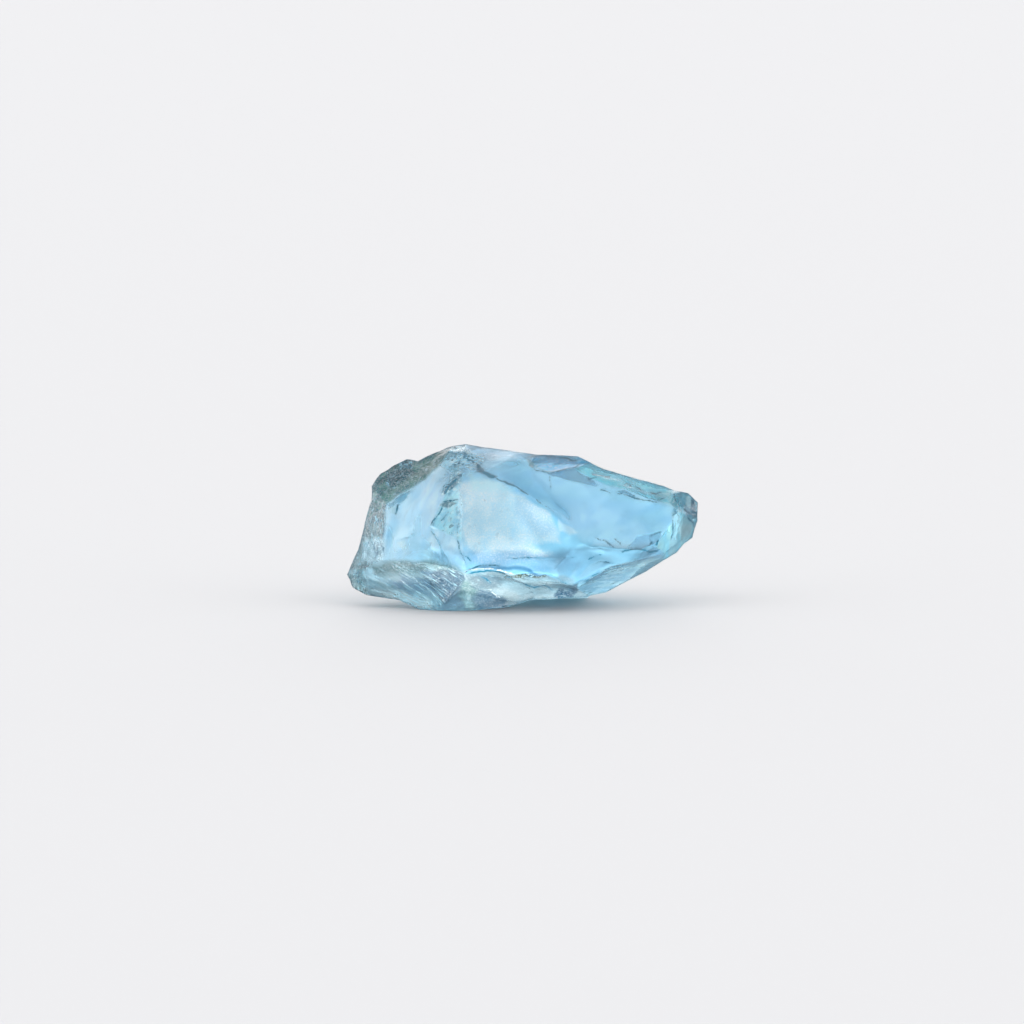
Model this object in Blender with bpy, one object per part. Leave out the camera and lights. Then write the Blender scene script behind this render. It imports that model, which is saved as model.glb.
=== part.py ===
"""Raw apatite: one clear blue crystal fragment, broken on every side, lying on its flat underside.

The stone is first laid out in millimetres in its own frame: x along it, y from its better face to its
back, z up. Its corners span named fracture facets. The facets are split into small triangles, drawn
tight like soap films, hollowed like conchoidal fractures and roughened, and chips are cut out of them.
Then the stone is leaned back and cut off flat where it rests.
"""

import math

import bmesh
import bpy
import numpy as np
from mathutils import Matrix, Vector, noise

MM = 0.001
LEAN = math.radians(8.0)  # the stone's better face looks up by this much as it rests
REST_CUT = 0.17  # mm that the resting plane lies above the layout's zero, once leaned
CUT_TOLERANCE = 1e-6  # mm from the resting plane at which a point counts as on it
LONGEST_EDGE = 0.36  # mm, after splitting
FILM_STEPS = 60
FILM_PRESSURE = 0.01  # how fast a film bulges at each step; only the bulge's shape is used
BUMP_SIZE = 0.45  # mm across the widest bumps of a rough facet
BUMP_FADE = 0.9  # how much weaker each finer size of bump is, as noise.fractal's H
BUMP_SHRINK = 2.0  # how much smaller each finer size of bump is
BUMP_OCTAVES = 3
BUMP_SPREAD = 1.6  # how far the bumps swing, as a share of the facet's roughness
BUMP_MEAN = 0.6  # how deep they lie on average, as the same share
STONE_COLOUR = (0.27, 0.60, 0.83, 1.0)
STONE_IOR = 1.634
STONE_ROUGHNESS = 0.06

# Corners in mm. The rim is the stone's outline, from its left tip over the top and back underneath.
CORNERS = {
    "rim": [
        (-5.48, -0.20, 1.14), (-5.14, -0.10, 1.92), (-4.92, 0.00, 2.83), (-4.73, 0.10, 3.45),
        (-4.73, 0.15, 3.89), (-4.45, 0.10, 4.31), (-3.99, 0.05, 4.58), (-3.62, 0.00, 4.73),
        (-3.27, -0.10, 4.69), (-2.89, -0.10, 4.89), (-2.20, -0.05, 5.16), (-1.77, -0.05, 5.22),
        (-1.20, 0.00, 5.11), (-0.45, -0.05, 5.02), (0.39, -0.20, 4.89), (1.73, -0.30, 4.83),
        (2.17, -0.25, 4.61), (2.55, -0.15, 4.44), (2.92, -0.10, 4.33), (3.67, -0.05, 4.11),
        (4.42, 0.00, 3.92), (4.76, 0.00, 3.76), (5.18, 0.05, 3.68), (5.48, 0.05, 3.39),
        (5.48, 0.05, 2.83), (5.32, 0.05, 2.28), (5.05, 0.00, 2.08), (4.80, -0.05, 1.80),
        (4.42, -0.15, 1.59), (3.86, -0.30, 1.23), (3.20, -0.40, 0.89), (2.61, -0.45, 0.58),
        (2.05, -0.50, 0.45), (1.17, -0.35, 0.39), (0.23, -0.10, 0.34), (-0.08, 0.10, 0.23),
        (-0.55, -0.45, 0.09), (-1.64, -1.05, 0.00), (-2.58, -1.05, 0.01), (-3.20, -0.80, 0.05),
        (-3.83, -0.65, 0.33), (-4.30, -0.60, 0.41), (-4.83, -0.50, 0.48), (-5.30, -0.35, 0.73),
    ],
    "band": [
        (-2.27, -0.55, 4.98), (-2.58, -1.00, 4.58), (-3.05, -1.15, 4.14), (-3.42, -1.20, 3.86),
        (-3.83, -1.15, 3.61), (-4.27, -1.00, 3.36),
    ],
    "strip": [(-4.36, -1.20, 2.52), (-4.42, -1.20, 1.58)],
    "ridge": [
        (-1.83, -0.75, 4.95), (-2.05, -1.55, 4.20), (-2.36, -1.75, 3.77), (-2.55, -1.85, 3.30),
        (-2.86, -1.80, 2.67), (-2.55, -1.92, 2.05),
    ],
    "neck": [(-1.86, -1.98, 3.45), (-1.89, -2.10, 2.20)],
    "lower": [
        (-4.89, -0.75, 1.36), (-3.83, -1.50, 1.55), (-3.05, -1.80, 1.52), (-2.33, -2.00, 1.36),
        (-1.73, -2.06, 1.17), (-1.34, -2.14, 1.31), (-0.70, -2.20, 1.27), (-0.05, -2.14, 1.08),
        (0.77, -1.96, 1.02), (1.61, -1.45, 0.77), (2.08, -1.62, 1.02), (2.73, -1.60, 1.39),
        (3.55, -1.15, 1.58), (4.42, -0.45, 1.80),
    ],
    "keel": [(-1.89, -1.85, 0.92), (-1.27, -1.45, 0.67), (-0.70, -0.85, 0.39), (-2.17, -1.55, 0.55)],
    "crest": [
        (-1.11, -1.30, 4.42), (-0.33, -1.75, 3.95), (0.27, -1.98, 3.52), (1.27, -2.02, 2.92),
        (1.73, -1.95, 2.05),
    ],
    "brow": [
        (-0.45, -0.75, 4.77), (0.20, -0.80, 4.53), (0.83, -1.02, 4.32), (1.61, -0.86, 4.46),
        (2.42, -0.95, 4.02), (3.20, -0.90, 3.86), (3.92, -0.85, 3.55), (4.61, -0.70, 3.36),
    ],
    "nub": [(4.77, -0.25, 3.70), (4.86, -0.70, 3.08), (4.89, -0.45, 2.36)],
    "step": [(2.80, -1.72, 1.92), (3.67, -1.38, 1.86), (4.17, -1.10, 2.02)],
    "back": [
        (-4.08, 1.05, 2.83), (-3.67, 0.95, 1.11), (-2.89, 1.35, 3.77), (-2.20, 1.95, 1.95),
        (-1.64, 1.55, 0.37), (-1.02, 1.30, 4.39), (-0.08, 2.05, 3.45), (0.55, 2.00, 1.58),
        (2.05, 1.70, 0.39), (2.42, 1.60, 3.45), (3.20, 1.35, 2.05), (1.17, 1.00, 4.45),
        (4.60, 0.85, 3.25), (-2.70, 1.15, 0.31), (4.55, 0.80, 2.45),
    ],
}

# Each facet: its corners in order, how deep it is hollowed in mm, and how rough it is in mm.
FACETS = {
    "skin corner": ("rim4..7 band3..5", 0.03, 0.035),
    "skin shoulder": ("rim7..10 band0..3", 0.05, 0.035),
    "skin heel": ("rim2..4 band5", 0.02, 0.030),
    "strip": ("rim0..2 band5 strip0..1 lower0", 0.04, 0.020),
    "left": ("band5..1 ridge1..5 lower3..1 strip1..0", 0.06, 0.008),
    "left top": ("band1..0 ridge0..1", 0.02, 0.006),
    "apex": ("rim10..11 ridge0 band0", 0.01, 0.010),
    "neck upper": ("ridge1..4 neck1..0", 0.05, 0.012),
    "neck lower": ("ridge4..5 lower3..4 neck1", 0.03, 0.008),
    "middle": ("neck0..1 lower4..8 crest4..0 ridge1", 0.04, 0.004),
    "top": ("rim11..13 brow0 crest0 ridge1..0", 0.04, 0.006),
    "window": ("crest0 brow0..7 nub1 step2..0 crest4..1", 0.03, 0.000),
    "lens": ("brow1 rim14..16 brow3..2", 0.06, 0.003),
    "edge top": ("brow0 rim13..14 brow1", 0.01, 0.003),
    "wavy edge": ("brow3 rim16..21 nub0 brow7..4", 0.03, 0.012),
    "nub upper": ("nub0 rim21..24 nub1 brow7", -0.07, 0.010),
    "nub lower": ("nub1 rim24..26 nub2", -0.04, 0.008),
    "right edge": ("nub1..2 rim26..28 lower13 step2", 0.03, 0.006),
    "low window": ("crest4 step0..2 lower13..8", 0.05, 0.006),
    "low right": ("lower9..13 rim28..32", 0.05, 0.010),
    "low middle": ("lower4..9 rim32..35 keel2..0", 0.10, 0.008),
    "low dark": ("keel0..2 rim35..38 keel3", 0.06, 0.006),
    "fan": ("lower0 strip1 lower1..4 keel0 keel3 rim38..42", 0.12, 0.010),
    "tip": ("rim0 lower0 rim42..43", 0.02, 0.010),
    "back left": ("rim0 back1..0 rim3..1", 0.06, 0.010),
    "back corner": ("rim3 back0 back2 rim7..4", 0.06, 0.015),
    "back shoulder": ("rim7 back2 back5 rim11..8", 0.05, 0.010),
    "back side": ("back0..1 back3..2", 0.06, 0.006),
    "back main": ("back2..3 back7..5", 0.16, 0.004),
    "back top": ("rim11 back5 back11 rim15..12", 0.05, 0.006),
    "back brow": ("back5..6 back9 back11", 0.05, 0.004),
    "back right": ("back6..7 back10..9", 0.06, 0.002),
    "back crown": ("rim15 back11 back9 back12 rim21..16", 0.06, 0.008),
    "back nub": ("back12 back14 rim25..21", 0.03, 0.008),
    "back flank": ("back9..10 back14 back12", 0.03, 0.003),
    "back keel": ("back14 back10 back8 rim32..25", 0.06, 0.006),
    "back low": ("back3..4 back8..7", 0.06, 0.006),
    "back facet": ("back7..8 back10", 0.03, 0.004),
    "back skirt": ("rim0 rim43..40 back13 back4..3 back1", 0.06, 0.008),
    "base": ("rim40..32 back8 back4 back13", 0.00, 0.004),
}

# Chips, each a shallow spherical dish: its middle, the way it faces, its radius and its depth, in mm.
CHIPS = {
    "ridge chip": ((-2.30, -1.86, 3.72), (-0.25, -0.95, 0.15), 0.34, 0.09),
    "ridge chip low": ((-2.52, -1.92, 3.28), (-0.35, -0.93, -0.10), 0.30, 0.08),
    "apex chip": ((-2.00, -1.25, 4.62), (-0.30, -0.85, 0.45), 0.33, 0.07),
    "shoulder nick": ((-3.27, -0.35, 4.72), (-0.25, -0.60, 0.75), 0.30, 0.07),
    "heel nick": ((-4.55, -0.35, 3.95), (-0.85, -0.45, 0.25), 0.34, 0.07),
    "fan shell": ((-3.90, -1.05, 0.70), (-0.30, -0.75, -0.58), 0.62, 0.10),
    "belly shell": ((0.35, -1.50, 0.62), (0.10, -0.72, -0.68), 0.85, 0.12),
    "teal chip": ((1.95, -1.30, 0.70), (0.10, -0.80, -0.60), 0.36, 0.08),
    "right nick": ((5.02, -0.20, 2.16), (0.55, -0.45, -0.70), 0.20, 0.05),
    "back shell": ((-3.30, 1.40, 2.60), (-0.45, 0.88, 0.12), 0.85, 0.14),
    "back chip": ((2.10, 1.72, 2.90), (0.20, 0.97, 0.10), 0.70, 0.10),
    "back nick": ((0.30, 1.75, 4.05), (0.00, 0.75, 0.66), 0.48, 0.08),
    "keel nick": ((3.60, 0.75, 1.35), (0.40, 0.50, -0.76), 0.45, 0.08),
}
CHIP_RINGS = 20
CHIP_SEGMENTS = 40
CHIP_MARGIN = 1.1  # how far the finely divided part of a chip's ball reaches, in radii of the dish
CHIP_CROWDING = 4  # the power by which the remaining rings open out towards the other pole


def clear_scene():
    for obj in list(bpy.data.objects):
        bpy.data.objects.remove(obj)


def stone_material():
    """Clear blue apatite."""
    material = bpy.data.materials.new("clear_apatite")
    material.use_nodes = True
    shader = material.node_tree.nodes["Principled BSDF"]
    shader.inputs["Base Color"].default_value = STONE_COLOUR
    shader.inputs["Roughness"].default_value = STONE_ROUGHNESS
    shader.inputs["Metallic"].default_value = 0.0
    shader.inputs["IOR"].default_value = STONE_IOR
    shader.inputs["Transmission Weight"].default_value = 1.0
    return material


def corner_names(words):
    """'rim4..7 band5' becomes rim4, rim5, rim6, rim7, band5. A range may also run downwards."""
    names = []
    for word in words.split():
        group = word.rstrip("0123456789.")
        ends = [int(number) for number in word[len(group):].split("..")]
        first, last = ends[0], ends[-1]
        way = 1 if last >= first else -1
        names += [f"{group}{number}" for number in range(first, last + way, way)]
    return names


def facet_net():
    """The stone as one polygon for each facet, with the facet's number kept on its faces."""
    net = bmesh.new()
    facet_number = net.faces.layers.int.new("facet")
    corners = {
        f"{group}{number}": net.verts.new(place)
        for group, places in CORNERS.items()
        for number, place in enumerate(places)
    }
    for number, (words, _, _) in enumerate(FACETS.values()):
        face = net.faces.new([corners[name] for name in corner_names(words)])
        face[facet_number] = number
    bmesh.ops.recalc_face_normals(net, faces=net.faces)
    return net


def split_finely(net):
    """Cuts the polygons into triangles with no edge over LONGEST_EDGE."""
    bmesh.ops.triangulate(net, faces=net.faces)
    facet_number = net.faces.layers.int["facet"]
    while True:
        long_edges = [edge for edge in net.edges if edge.calc_length() > LONGEST_EDGE]
        if not long_edges:
            break
        bmesh.ops.subdivide_edges(net, edges=long_edges, cuts=1)
        bmesh.ops.triangulate(net, faces=[face for face in net.faces if len(face.verts) > 3])
        inner = [edge for edge in net.edges if len({face[facet_number] for face in edge.link_faces}) == 1]
        bmesh.ops.beautify_fill(net, faces=net.faces, edges=inner, method="ANGLE")


class Film:
    """The net's points as arrays, for moving every point of a facet inside its fixed ridges."""

    def __init__(self, net):
        net.verts.index_update()
        facet_number = net.faces.layers.int["facet"]
        self.net = net
        self.points = np.array([vert.co[:] for vert in net.verts])
        self.ends = np.array([[vert.index for vert in edge.verts] for edge in net.edges])
        self.neighbours = np.bincount(self.ends.ravel(), minlength=len(self.points))
        self.on_ridge = np.zeros(len(self.points), bool)
        self.facet = np.zeros(len(self.points), int)
        for vert in net.verts:
            facets = {face[facet_number] for face in vert.link_faces}
            self.on_ridge[vert.index] = len(facets) > 1
            self.facet[vert.index] = min(facets)

    def mean_of_neighbours(self, values):
        a, b = self.ends.T
        total = np.zeros_like(values)
        np.add.at(total, a, values[b])
        np.add.at(total, b, values[a])
        return (total.T / self.neighbours).T

    def draw_tight(self):
        """Each facet becomes the smooth film that its ridges hold."""
        for _ in range(FILM_STEPS):
            mean = self.mean_of_neighbours(self.points)
            self.points = np.where(self.on_ridge[:, None], self.points, mean)

    def hollow(self):
        """A share from 0 on the ridges to 1 in the middle of each facet."""
        share = np.zeros(len(self.points))
        for _ in range(4 * FILM_STEPS):
            share = np.where(self.on_ridge, 0.0, self.mean_of_neighbours(share) + FILM_PRESSURE)
        deepest = np.full(len(FACETS), FILM_PRESSURE)
        np.maximum.at(deepest, self.facet, share)
        return share / deepest[self.facet]

    def write_back(self):
        for vert, place in zip(self.net.verts, self.points):
            vert.co = place
        self.net.normal_update()

    def outward(self):
        return np.array([vert.normal[:] for vert in self.net.verts])


def shape_facets(net):
    """Draws the facets tight, hollows them and roughens them."""
    film = Film(net)
    film.draw_tight()
    film.write_back()
    dish = np.array([facet[1] for facet in FACETS.values()])[film.facet]
    rough = np.array([facet[2] for facet in FACETS.values()])[film.facet]
    bumps = np.array([
        noise.fractal(Vector(point) / BUMP_SIZE, BUMP_FADE, BUMP_SHRINK, BUMP_OCTAVES)
        for point in film.points
    ])
    inset = dish * film.hollow() + rough * (BUMP_MEAN + BUMP_SPREAD * bumps) * ~film.on_ridge
    film.points = film.points - film.outward() * inset[:, None]
    film.write_back()


def lean_and_cut(net):
    """Leans the stone back and cuts it off flat where it rests, at z = 0."""
    bmesh.ops.rotate(net, verts=net.verts, cent=(0, 0, 0), matrix=Matrix.Rotation(-LEAN, 3, "X"))
    bmesh.ops.translate(net, verts=net.verts, vec=(0, 0, -REST_CUT))
    cut = bmesh.ops.bisect_plane(
        net,
        geom=net.verts[:] + net.edges[:] + net.faces[:],
        dist=CUT_TOLERANCE,
        plane_co=(0, 0, 0),
        plane_no=(0, 0, 1),
        clear_inner=True,
    )
    rim = [item for item in cut["geom_cut"] if isinstance(item, bmesh.types.BMEdge)]
    bmesh.ops.holes_fill(net, edges=rim, sides=0)
    bmesh.ops.triangulate(net, faces=[face for face in net.faces if len(face.verts) > 3])
    bmesh.ops.recalc_face_normals(net, faces=net.faces)


def mesh_object(name, net):
    mesh = bpy.data.meshes.new(name)
    net.to_mesh(mesh)
    net.free()
    obj = bpy.data.objects.new(name, mesh)
    bpy.context.scene.collection.objects.link(obj)
    return obj


def chip_cutter(name, middle, facing, radius, depth):
    """A sphere that bites a dish of this radius and depth."""
    ball_radius = (radius**2 + depth**2) / (2 * depth)
    facing = Vector(facing).normalized()
    centre = Vector(middle) + facing * (ball_radius - depth)
    ball = bmesh.new()
    bmesh.ops.create_uvsphere(ball, u_segments=CHIP_SEGMENTS, v_segments=CHIP_RINGS, radius=1.0)
    # The rings crowd towards the pole that bites: half of them lie within the dish and its margin.
    dish_angle = 2 * CHIP_MARGIN * math.asin(min(1.0, radius / ball_radius))
    for vert in ball.verts:
        ring = math.acos(max(-1.0, min(1.0, -vert.co.z))) / math.pi
        turn = math.atan2(vert.co.y, vert.co.x)
        angle = dish_angle * ring + (math.pi - dish_angle) * ring**CHIP_CROWDING
        side = math.sin(angle) * ball_radius
        vert.co = (side * math.cos(turn), side * math.sin(turn), -math.cos(angle) * ball_radius)
    turn_to_facing = Vector((0, 0, 1)).rotation_difference(facing).to_matrix()
    bmesh.ops.rotate(ball, verts=ball.verts, cent=(0, 0, 0), matrix=turn_to_facing)
    bmesh.ops.translate(ball, verts=ball.verts, vec=centre)
    bmesh.ops.recalc_face_normals(ball, faces=ball.faces)
    cutter = mesh_object(name, ball)
    cutter.hide_render = True
    cutter.display_type = "WIRE"
    return cutter


def cut_chips(stone):
    """Cuts each chip out of the stone and keeps the result as its mesh."""
    for name, (middle, facing, radius, depth) in CHIPS.items():
        cutter = chip_cutter(name.replace(" ", "_"), middle, facing, radius, depth)
        bite = stone.modifiers.new(cutter.name, "BOOLEAN")
        bite.operation = "DIFFERENCE"
        bite.object = cutter
    graph = bpy.context.evaluated_depsgraph_get()
    whole = bpy.data.meshes.new_from_object(stone.evaluated_get(graph))
    for cutter in [bite.object for bite in stone.modifiers]:
        bpy.data.objects.remove(cutter)
    stone.modifiers.clear()
    return whole


def build():
    clear_scene()
    net = facet_net()
    split_finely(net)
    shape_facets(net)
    stone = mesh_object("apatite", net)
    chipped = bmesh.new()
    chipped.from_mesh(cut_chips(stone))
    lean_and_cut(chipped)
    low = Vector(min(vert.co[axis] for vert in chipped.verts) for axis in range(3))
    high = Vector(max(vert.co[axis] for vert in chipped.verts) for axis in range(3))
    middle = (low + high) / 2
    bmesh.ops.translate(chipped, verts=chipped.verts, vec=(-middle.x, -middle.y, 0))
    bmesh.ops.scale(chipped, verts=chipped.verts, vec=(MM, MM, MM))
    chipped.to_mesh(stone.data)
    chipped.free()
    stone.data.materials.append(stone_material())


build()
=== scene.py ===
"""Looks of the raw apatite: a clear blue crystal fragment with fractured facets and a weathered corner.

The stone is laid out in millimetres in its own frame: x along it, y from its better face to its back,
z up. Named corners span its fracture facets. The facets are split into fine triangles, drawn tight,
hollowed and textured. The result is leaned back, flattened where it rests and fitted to the CAD stone's box.
"""

import math

import bmesh
import bpy
import numpy as np
from mathutils import Matrix, Vector


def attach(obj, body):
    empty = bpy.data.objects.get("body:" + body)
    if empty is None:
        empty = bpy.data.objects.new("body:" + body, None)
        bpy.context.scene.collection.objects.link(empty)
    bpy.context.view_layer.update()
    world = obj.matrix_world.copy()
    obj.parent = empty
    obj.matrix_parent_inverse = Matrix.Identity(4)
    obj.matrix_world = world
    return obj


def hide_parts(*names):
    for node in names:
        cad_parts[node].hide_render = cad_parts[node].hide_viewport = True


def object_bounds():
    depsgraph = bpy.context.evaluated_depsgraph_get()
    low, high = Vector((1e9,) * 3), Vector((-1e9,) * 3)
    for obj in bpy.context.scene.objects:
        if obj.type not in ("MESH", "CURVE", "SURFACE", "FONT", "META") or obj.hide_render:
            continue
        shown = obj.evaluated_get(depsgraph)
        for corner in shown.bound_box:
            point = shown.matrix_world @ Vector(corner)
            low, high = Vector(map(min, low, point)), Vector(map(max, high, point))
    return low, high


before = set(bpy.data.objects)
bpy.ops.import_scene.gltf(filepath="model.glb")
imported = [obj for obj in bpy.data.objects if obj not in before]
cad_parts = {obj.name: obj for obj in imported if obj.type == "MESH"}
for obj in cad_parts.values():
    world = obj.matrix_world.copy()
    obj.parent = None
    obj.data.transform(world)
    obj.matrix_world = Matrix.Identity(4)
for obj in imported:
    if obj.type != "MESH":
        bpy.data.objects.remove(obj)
cad_low, cad_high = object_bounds()

MM = 0.001
TINY = 1e-9  # keeps a division from being by nothing
LEAN = math.radians(8.0)  # how far the stone leans back
REST_CUT = 0.17  # mm, how much of the stone is flattened where it rests

# The longest edges before quartering, in mm: on the better face, near a step or crack there, and elsewhere.
LONGEST_EDGE, LONGEST_ROUTE_EDGE, LONGEST_BACK_EDGE = 0.27, 0.17, 0.50
ROUTE_REACH = 0.12  # mm, how near a step or crack counts as near
QUARTERINGS = 2
FIRST_FILM_STEPS, FILM_STEPS = 200, 50  # steps that draw the facets tight, at first and after quartering
SOFTENINGS = 25  # steps in which soft ridges are rounded
FILM_PRESSURE = 0.01  # how much a hollow grows in a step, before quartering

CORNERS = {
    "rim": [
        (-5.48, -0.20, 1.14), (-5.14, -0.10, 1.92), (-4.92, 0.00, 2.83), (-4.73, 0.10, 3.45),
        (-4.73, 0.15, 3.89), (-4.45, 0.10, 4.31), (-3.99, 0.05, 4.58), (-3.62, 0.00, 4.73),
        (-3.27, -0.10, 4.69), (-2.89, -0.10, 4.89), (-2.20, -0.05, 5.16), (-1.77, -0.05, 5.22),
        (-1.20, 0.00, 5.11), (-0.45, -0.05, 5.02), (0.39, -0.20, 4.89), (1.73, -0.30, 4.83),
        (2.17, -0.25, 4.61), (2.55, -0.15, 4.44), (2.92, -0.10, 4.33), (3.67, -0.05, 4.11),
        (4.42, 0.00, 3.92), (4.76, 0.00, 3.76), (5.18, 0.05, 3.68), (5.48, 0.05, 3.39),
        (5.48, 0.05, 2.83), (5.32, 0.05, 2.28), (5.05, 0.00, 2.08), (4.80, -0.05, 1.80),
        (4.42, -0.15, 1.59), (3.86, -0.30, 1.23), (3.20, -0.40, 0.89), (2.61, -0.45, 0.58),
        (2.05, -0.50, 0.45), (1.17, -0.35, 0.39), (0.23, -0.10, 0.34), (-0.08, 0.10, 0.23),
        (-0.55, -0.45, 0.09), (-1.64, -1.05, 0.00), (-2.58, -1.05, 0.01), (-3.20, -0.80, 0.05),
        (-3.83, -0.65, 0.33), (-4.30, -0.60, 0.41), (-4.83, -0.50, 0.48), (-5.30, -0.35, 0.73),
    ],
    "band": [
        (-2.27, -0.55, 4.98), (-2.58, -1.00, 4.58), (-3.05, -1.15, 4.14), (-3.42, -1.20, 3.86),
        (-3.83, -1.15, 3.61), (-4.27, -1.00, 3.36),
    ],
    "strip": [(-4.36, -1.20, 2.52), (-4.42, -1.20, 1.58)],
    "ridge": [
        (-1.83, -0.75, 4.95), (-2.05, -1.55, 4.20), (-2.36, -1.75, 3.77), (-2.55, -1.85, 3.30),
        (-2.86, -1.80, 2.67), (-2.55, -1.92, 2.05),
    ],
    "neck": [(-1.86, -1.98, 3.45), (-1.89, -2.10, 2.20)],
    "lower": [
        (-4.89, -0.75, 1.36), (-3.83, -1.50, 1.55), (-3.05, -1.80, 1.52), (-2.33, -2.00, 1.36),
        (-1.73, -2.06, 1.17), (-1.34, -2.14, 1.31), (-0.70, -2.20, 1.27), (-0.05, -2.14, 1.08),
        (0.77, -1.96, 1.02), (1.61, -1.45, 0.77), (2.08, -1.62, 1.02), (2.73, -1.60, 1.39),
        (3.55, -1.15, 1.58), (4.42, -0.45, 1.80),
    ],
    "keel": [(-1.89, -1.85, 0.92), (-1.27, -1.45, 0.67), (-0.70, -0.85, 0.39), (-2.17, -1.55, 0.55)],
    "crest": [
        (-1.11, -1.30, 4.42), (-0.33, -1.75, 3.95), (0.27, -1.98, 3.52), (1.27, -2.02, 2.92),
        (1.73, -1.95, 2.05),
    ],
    "brow": [
        (-0.45, -0.75, 4.77), (0.20, -0.80, 4.53), (0.83, -1.02, 4.32), (1.61, -0.86, 4.46),
        (2.42, -0.95, 4.02), (3.20, -0.90, 3.86), (3.92, -0.85, 3.55), (4.61, -0.70, 3.36),
    ],
    "nub": [(4.77, -0.25, 3.70), (4.86, -0.70, 3.08), (4.89, -0.45, 2.36)],
    "step": [(2.80, -1.72, 1.92), (3.67, -1.38, 1.86), (4.17, -1.10, 2.02)],
    "back": [
        (-4.08, 1.05, 2.83), (-3.67, 0.95, 1.11), (-2.89, 1.35, 3.77), (-2.20, 1.95, 1.95),
        (-1.64, 1.55, 0.37), (-1.02, 1.30, 4.39), (-0.08, 2.05, 3.45), (0.55, 2.00, 1.58),
        (2.05, 1.70, 0.39), (2.42, 1.60, 3.45), (3.20, 1.35, 2.05), (1.17, 1.00, 4.45),
        (4.60, 0.85, 3.25), (-2.70, 1.15, 0.31), (4.55, 0.80, 2.45),
    ],
}

# Each facet: its corners in order, how deep it is dished in mm, how rough it is in mm, and its finish.
FACETS = {
    "skin corner": ("rim4..7 band3..5", 0.03, 0.035, "skin"),
    "skin shoulder": ("rim7..10 band0..3", 0.05, 0.035, "skin"),
    "skin heel": ("rim2..4 band5", 0.02, 0.030, "skin"),
    "strip": ("rim0..2 band5 strip0..1 lower0", 0.04, 0.020, "strip"),
    "left": ("band5..1 ridge1..5 lower3..1 strip1..0", 0.06, 0.008, "pale"),
    "left top": ("band1..0 ridge0..1", 0.02, 0.010, "chipped"),
    "apex": ("rim10..11 ridge0 band0", 0.01, 0.020, "crumbled"),
    "neck upper": ("ridge1..4 neck1..0", 0.05, 0.014, "chipped"),
    "neck lower": ("ridge4..5 lower3..4 neck1", 0.03, 0.008, "pale"),
    "middle": ("neck0..1 lower4..8 crest4..0 ridge1", 0.04, 0.004, "clear"),
    "top": ("rim11..13 brow0 crest0 ridge1..0", 0.04, 0.006, "clear"),
    "window": ("crest0 brow0..7 nub1 step2..0 crest4..1", 0.03, 0.002, "clear"),
    "lens": ("brow1 rim14..16 brow3..2", 0.06, 0.004, "scar"),
    "edge top": ("brow0 rim13..14 brow1", 0.01, 0.003, "clear"),
    "wavy edge": ("brow3 rim16..21 nub0 brow7..4", 0.03, 0.012, "wavy"),
    "nub upper": ("nub0 rim21..24 nub1 brow7", -0.07, 0.012, "nub"),
    "nub lower": ("nub1 rim24..26 nub2", -0.04, 0.010, "nub"),
    "right edge": ("nub1..2 rim26..28 lower13 step2", 0.03, 0.006, "bright"),
    "low window": ("crest4 step0..2 lower13..8", 0.05, 0.006, "clear"),
    "low right": ("lower9..13 rim28..32", 0.05, 0.010, "striped"),
    "low middle": ("lower4..9 rim32..35 keel2..0", 0.10, 0.008, "belly"),
    "low dark": ("keel0..2 rim35..38 keel3", 0.06, 0.006, "keel"),
    "fan": ("lower0 strip1 lower1..4 keel0 keel3 rim38..42", 0.12, 0.012, "fan"),
    "tip": ("rim0 lower0 rim42..43", 0.02, 0.012, "strip"),
    "back left": ("rim0 back1..0 rim3..1", 0.06, 0.010, "frosted"),
    "back corner": ("rim3 back0 back2 rim7..4", 0.06, 0.015, "worn"),
    "back shoulder": ("rim7 back2 back5 rim11..8", 0.05, 0.010, "worn"),
    "back side": ("back0..1 back3..2", 0.06, 0.006, "frosted"),
    "back main": ("back2..3 back7..5", 0.16, 0.004, "frosted"),
    "back top": ("rim11 back5 back11 rim15..12", 0.05, 0.006, "frosted"),
    "back brow": ("back5..6 back9 back11", 0.05, 0.004, "frosted"),
    "back right": ("back6..7 back10..9", 0.06, 0.002, "frosted"),
    "back crown": ("rim15 back11 back9 back12 rim21..16", 0.06, 0.008, "frosted"),
    "back nub": ("back12 back14 rim25..21", 0.03, 0.008, "worn"),
    "back flank": ("back9..10 back14 back12", 0.03, 0.003, "frosted"),
    "back keel": ("back14 back10 back8 rim32..25", 0.06, 0.006, "frosted"),
    "back low": ("back3..4 back8..7", 0.06, 0.006, "frosted"),
    "back facet": ("back7..8 back10", 0.03, 0.004, "frosted"),
    "back skirt": ("rim0 rim43..40 back13 back4..3 back1", 0.06, 0.008, "worn"),
    "base": ("rim40..32 back8 back4 back13", 0.00, 0.004, "worn"),
}

DISH, ROUGH, FINISH = 1, 2, 3  # places in a facet's row
NAMES = list(FACETS)
HIDDEN = ("back", "base")  # how the names of facets behind and beneath start

# Facets that meet in soft, rounded ridges.
SOFT_GROUPS = (
    ("left", "left top", "neck lower", "strip", "skin heel"),
    ("middle", "top", "window", "edge top", "wavy edge", "right edge", "low window", "low right"),
    ("skin corner", "skin shoulder"),
    ("fan", "tip"),
    ("back main", "back low", "back facet", "back side", "back left"),
    ("back right", "back flank"),
    ("back crown", "back brow"),
)

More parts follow.
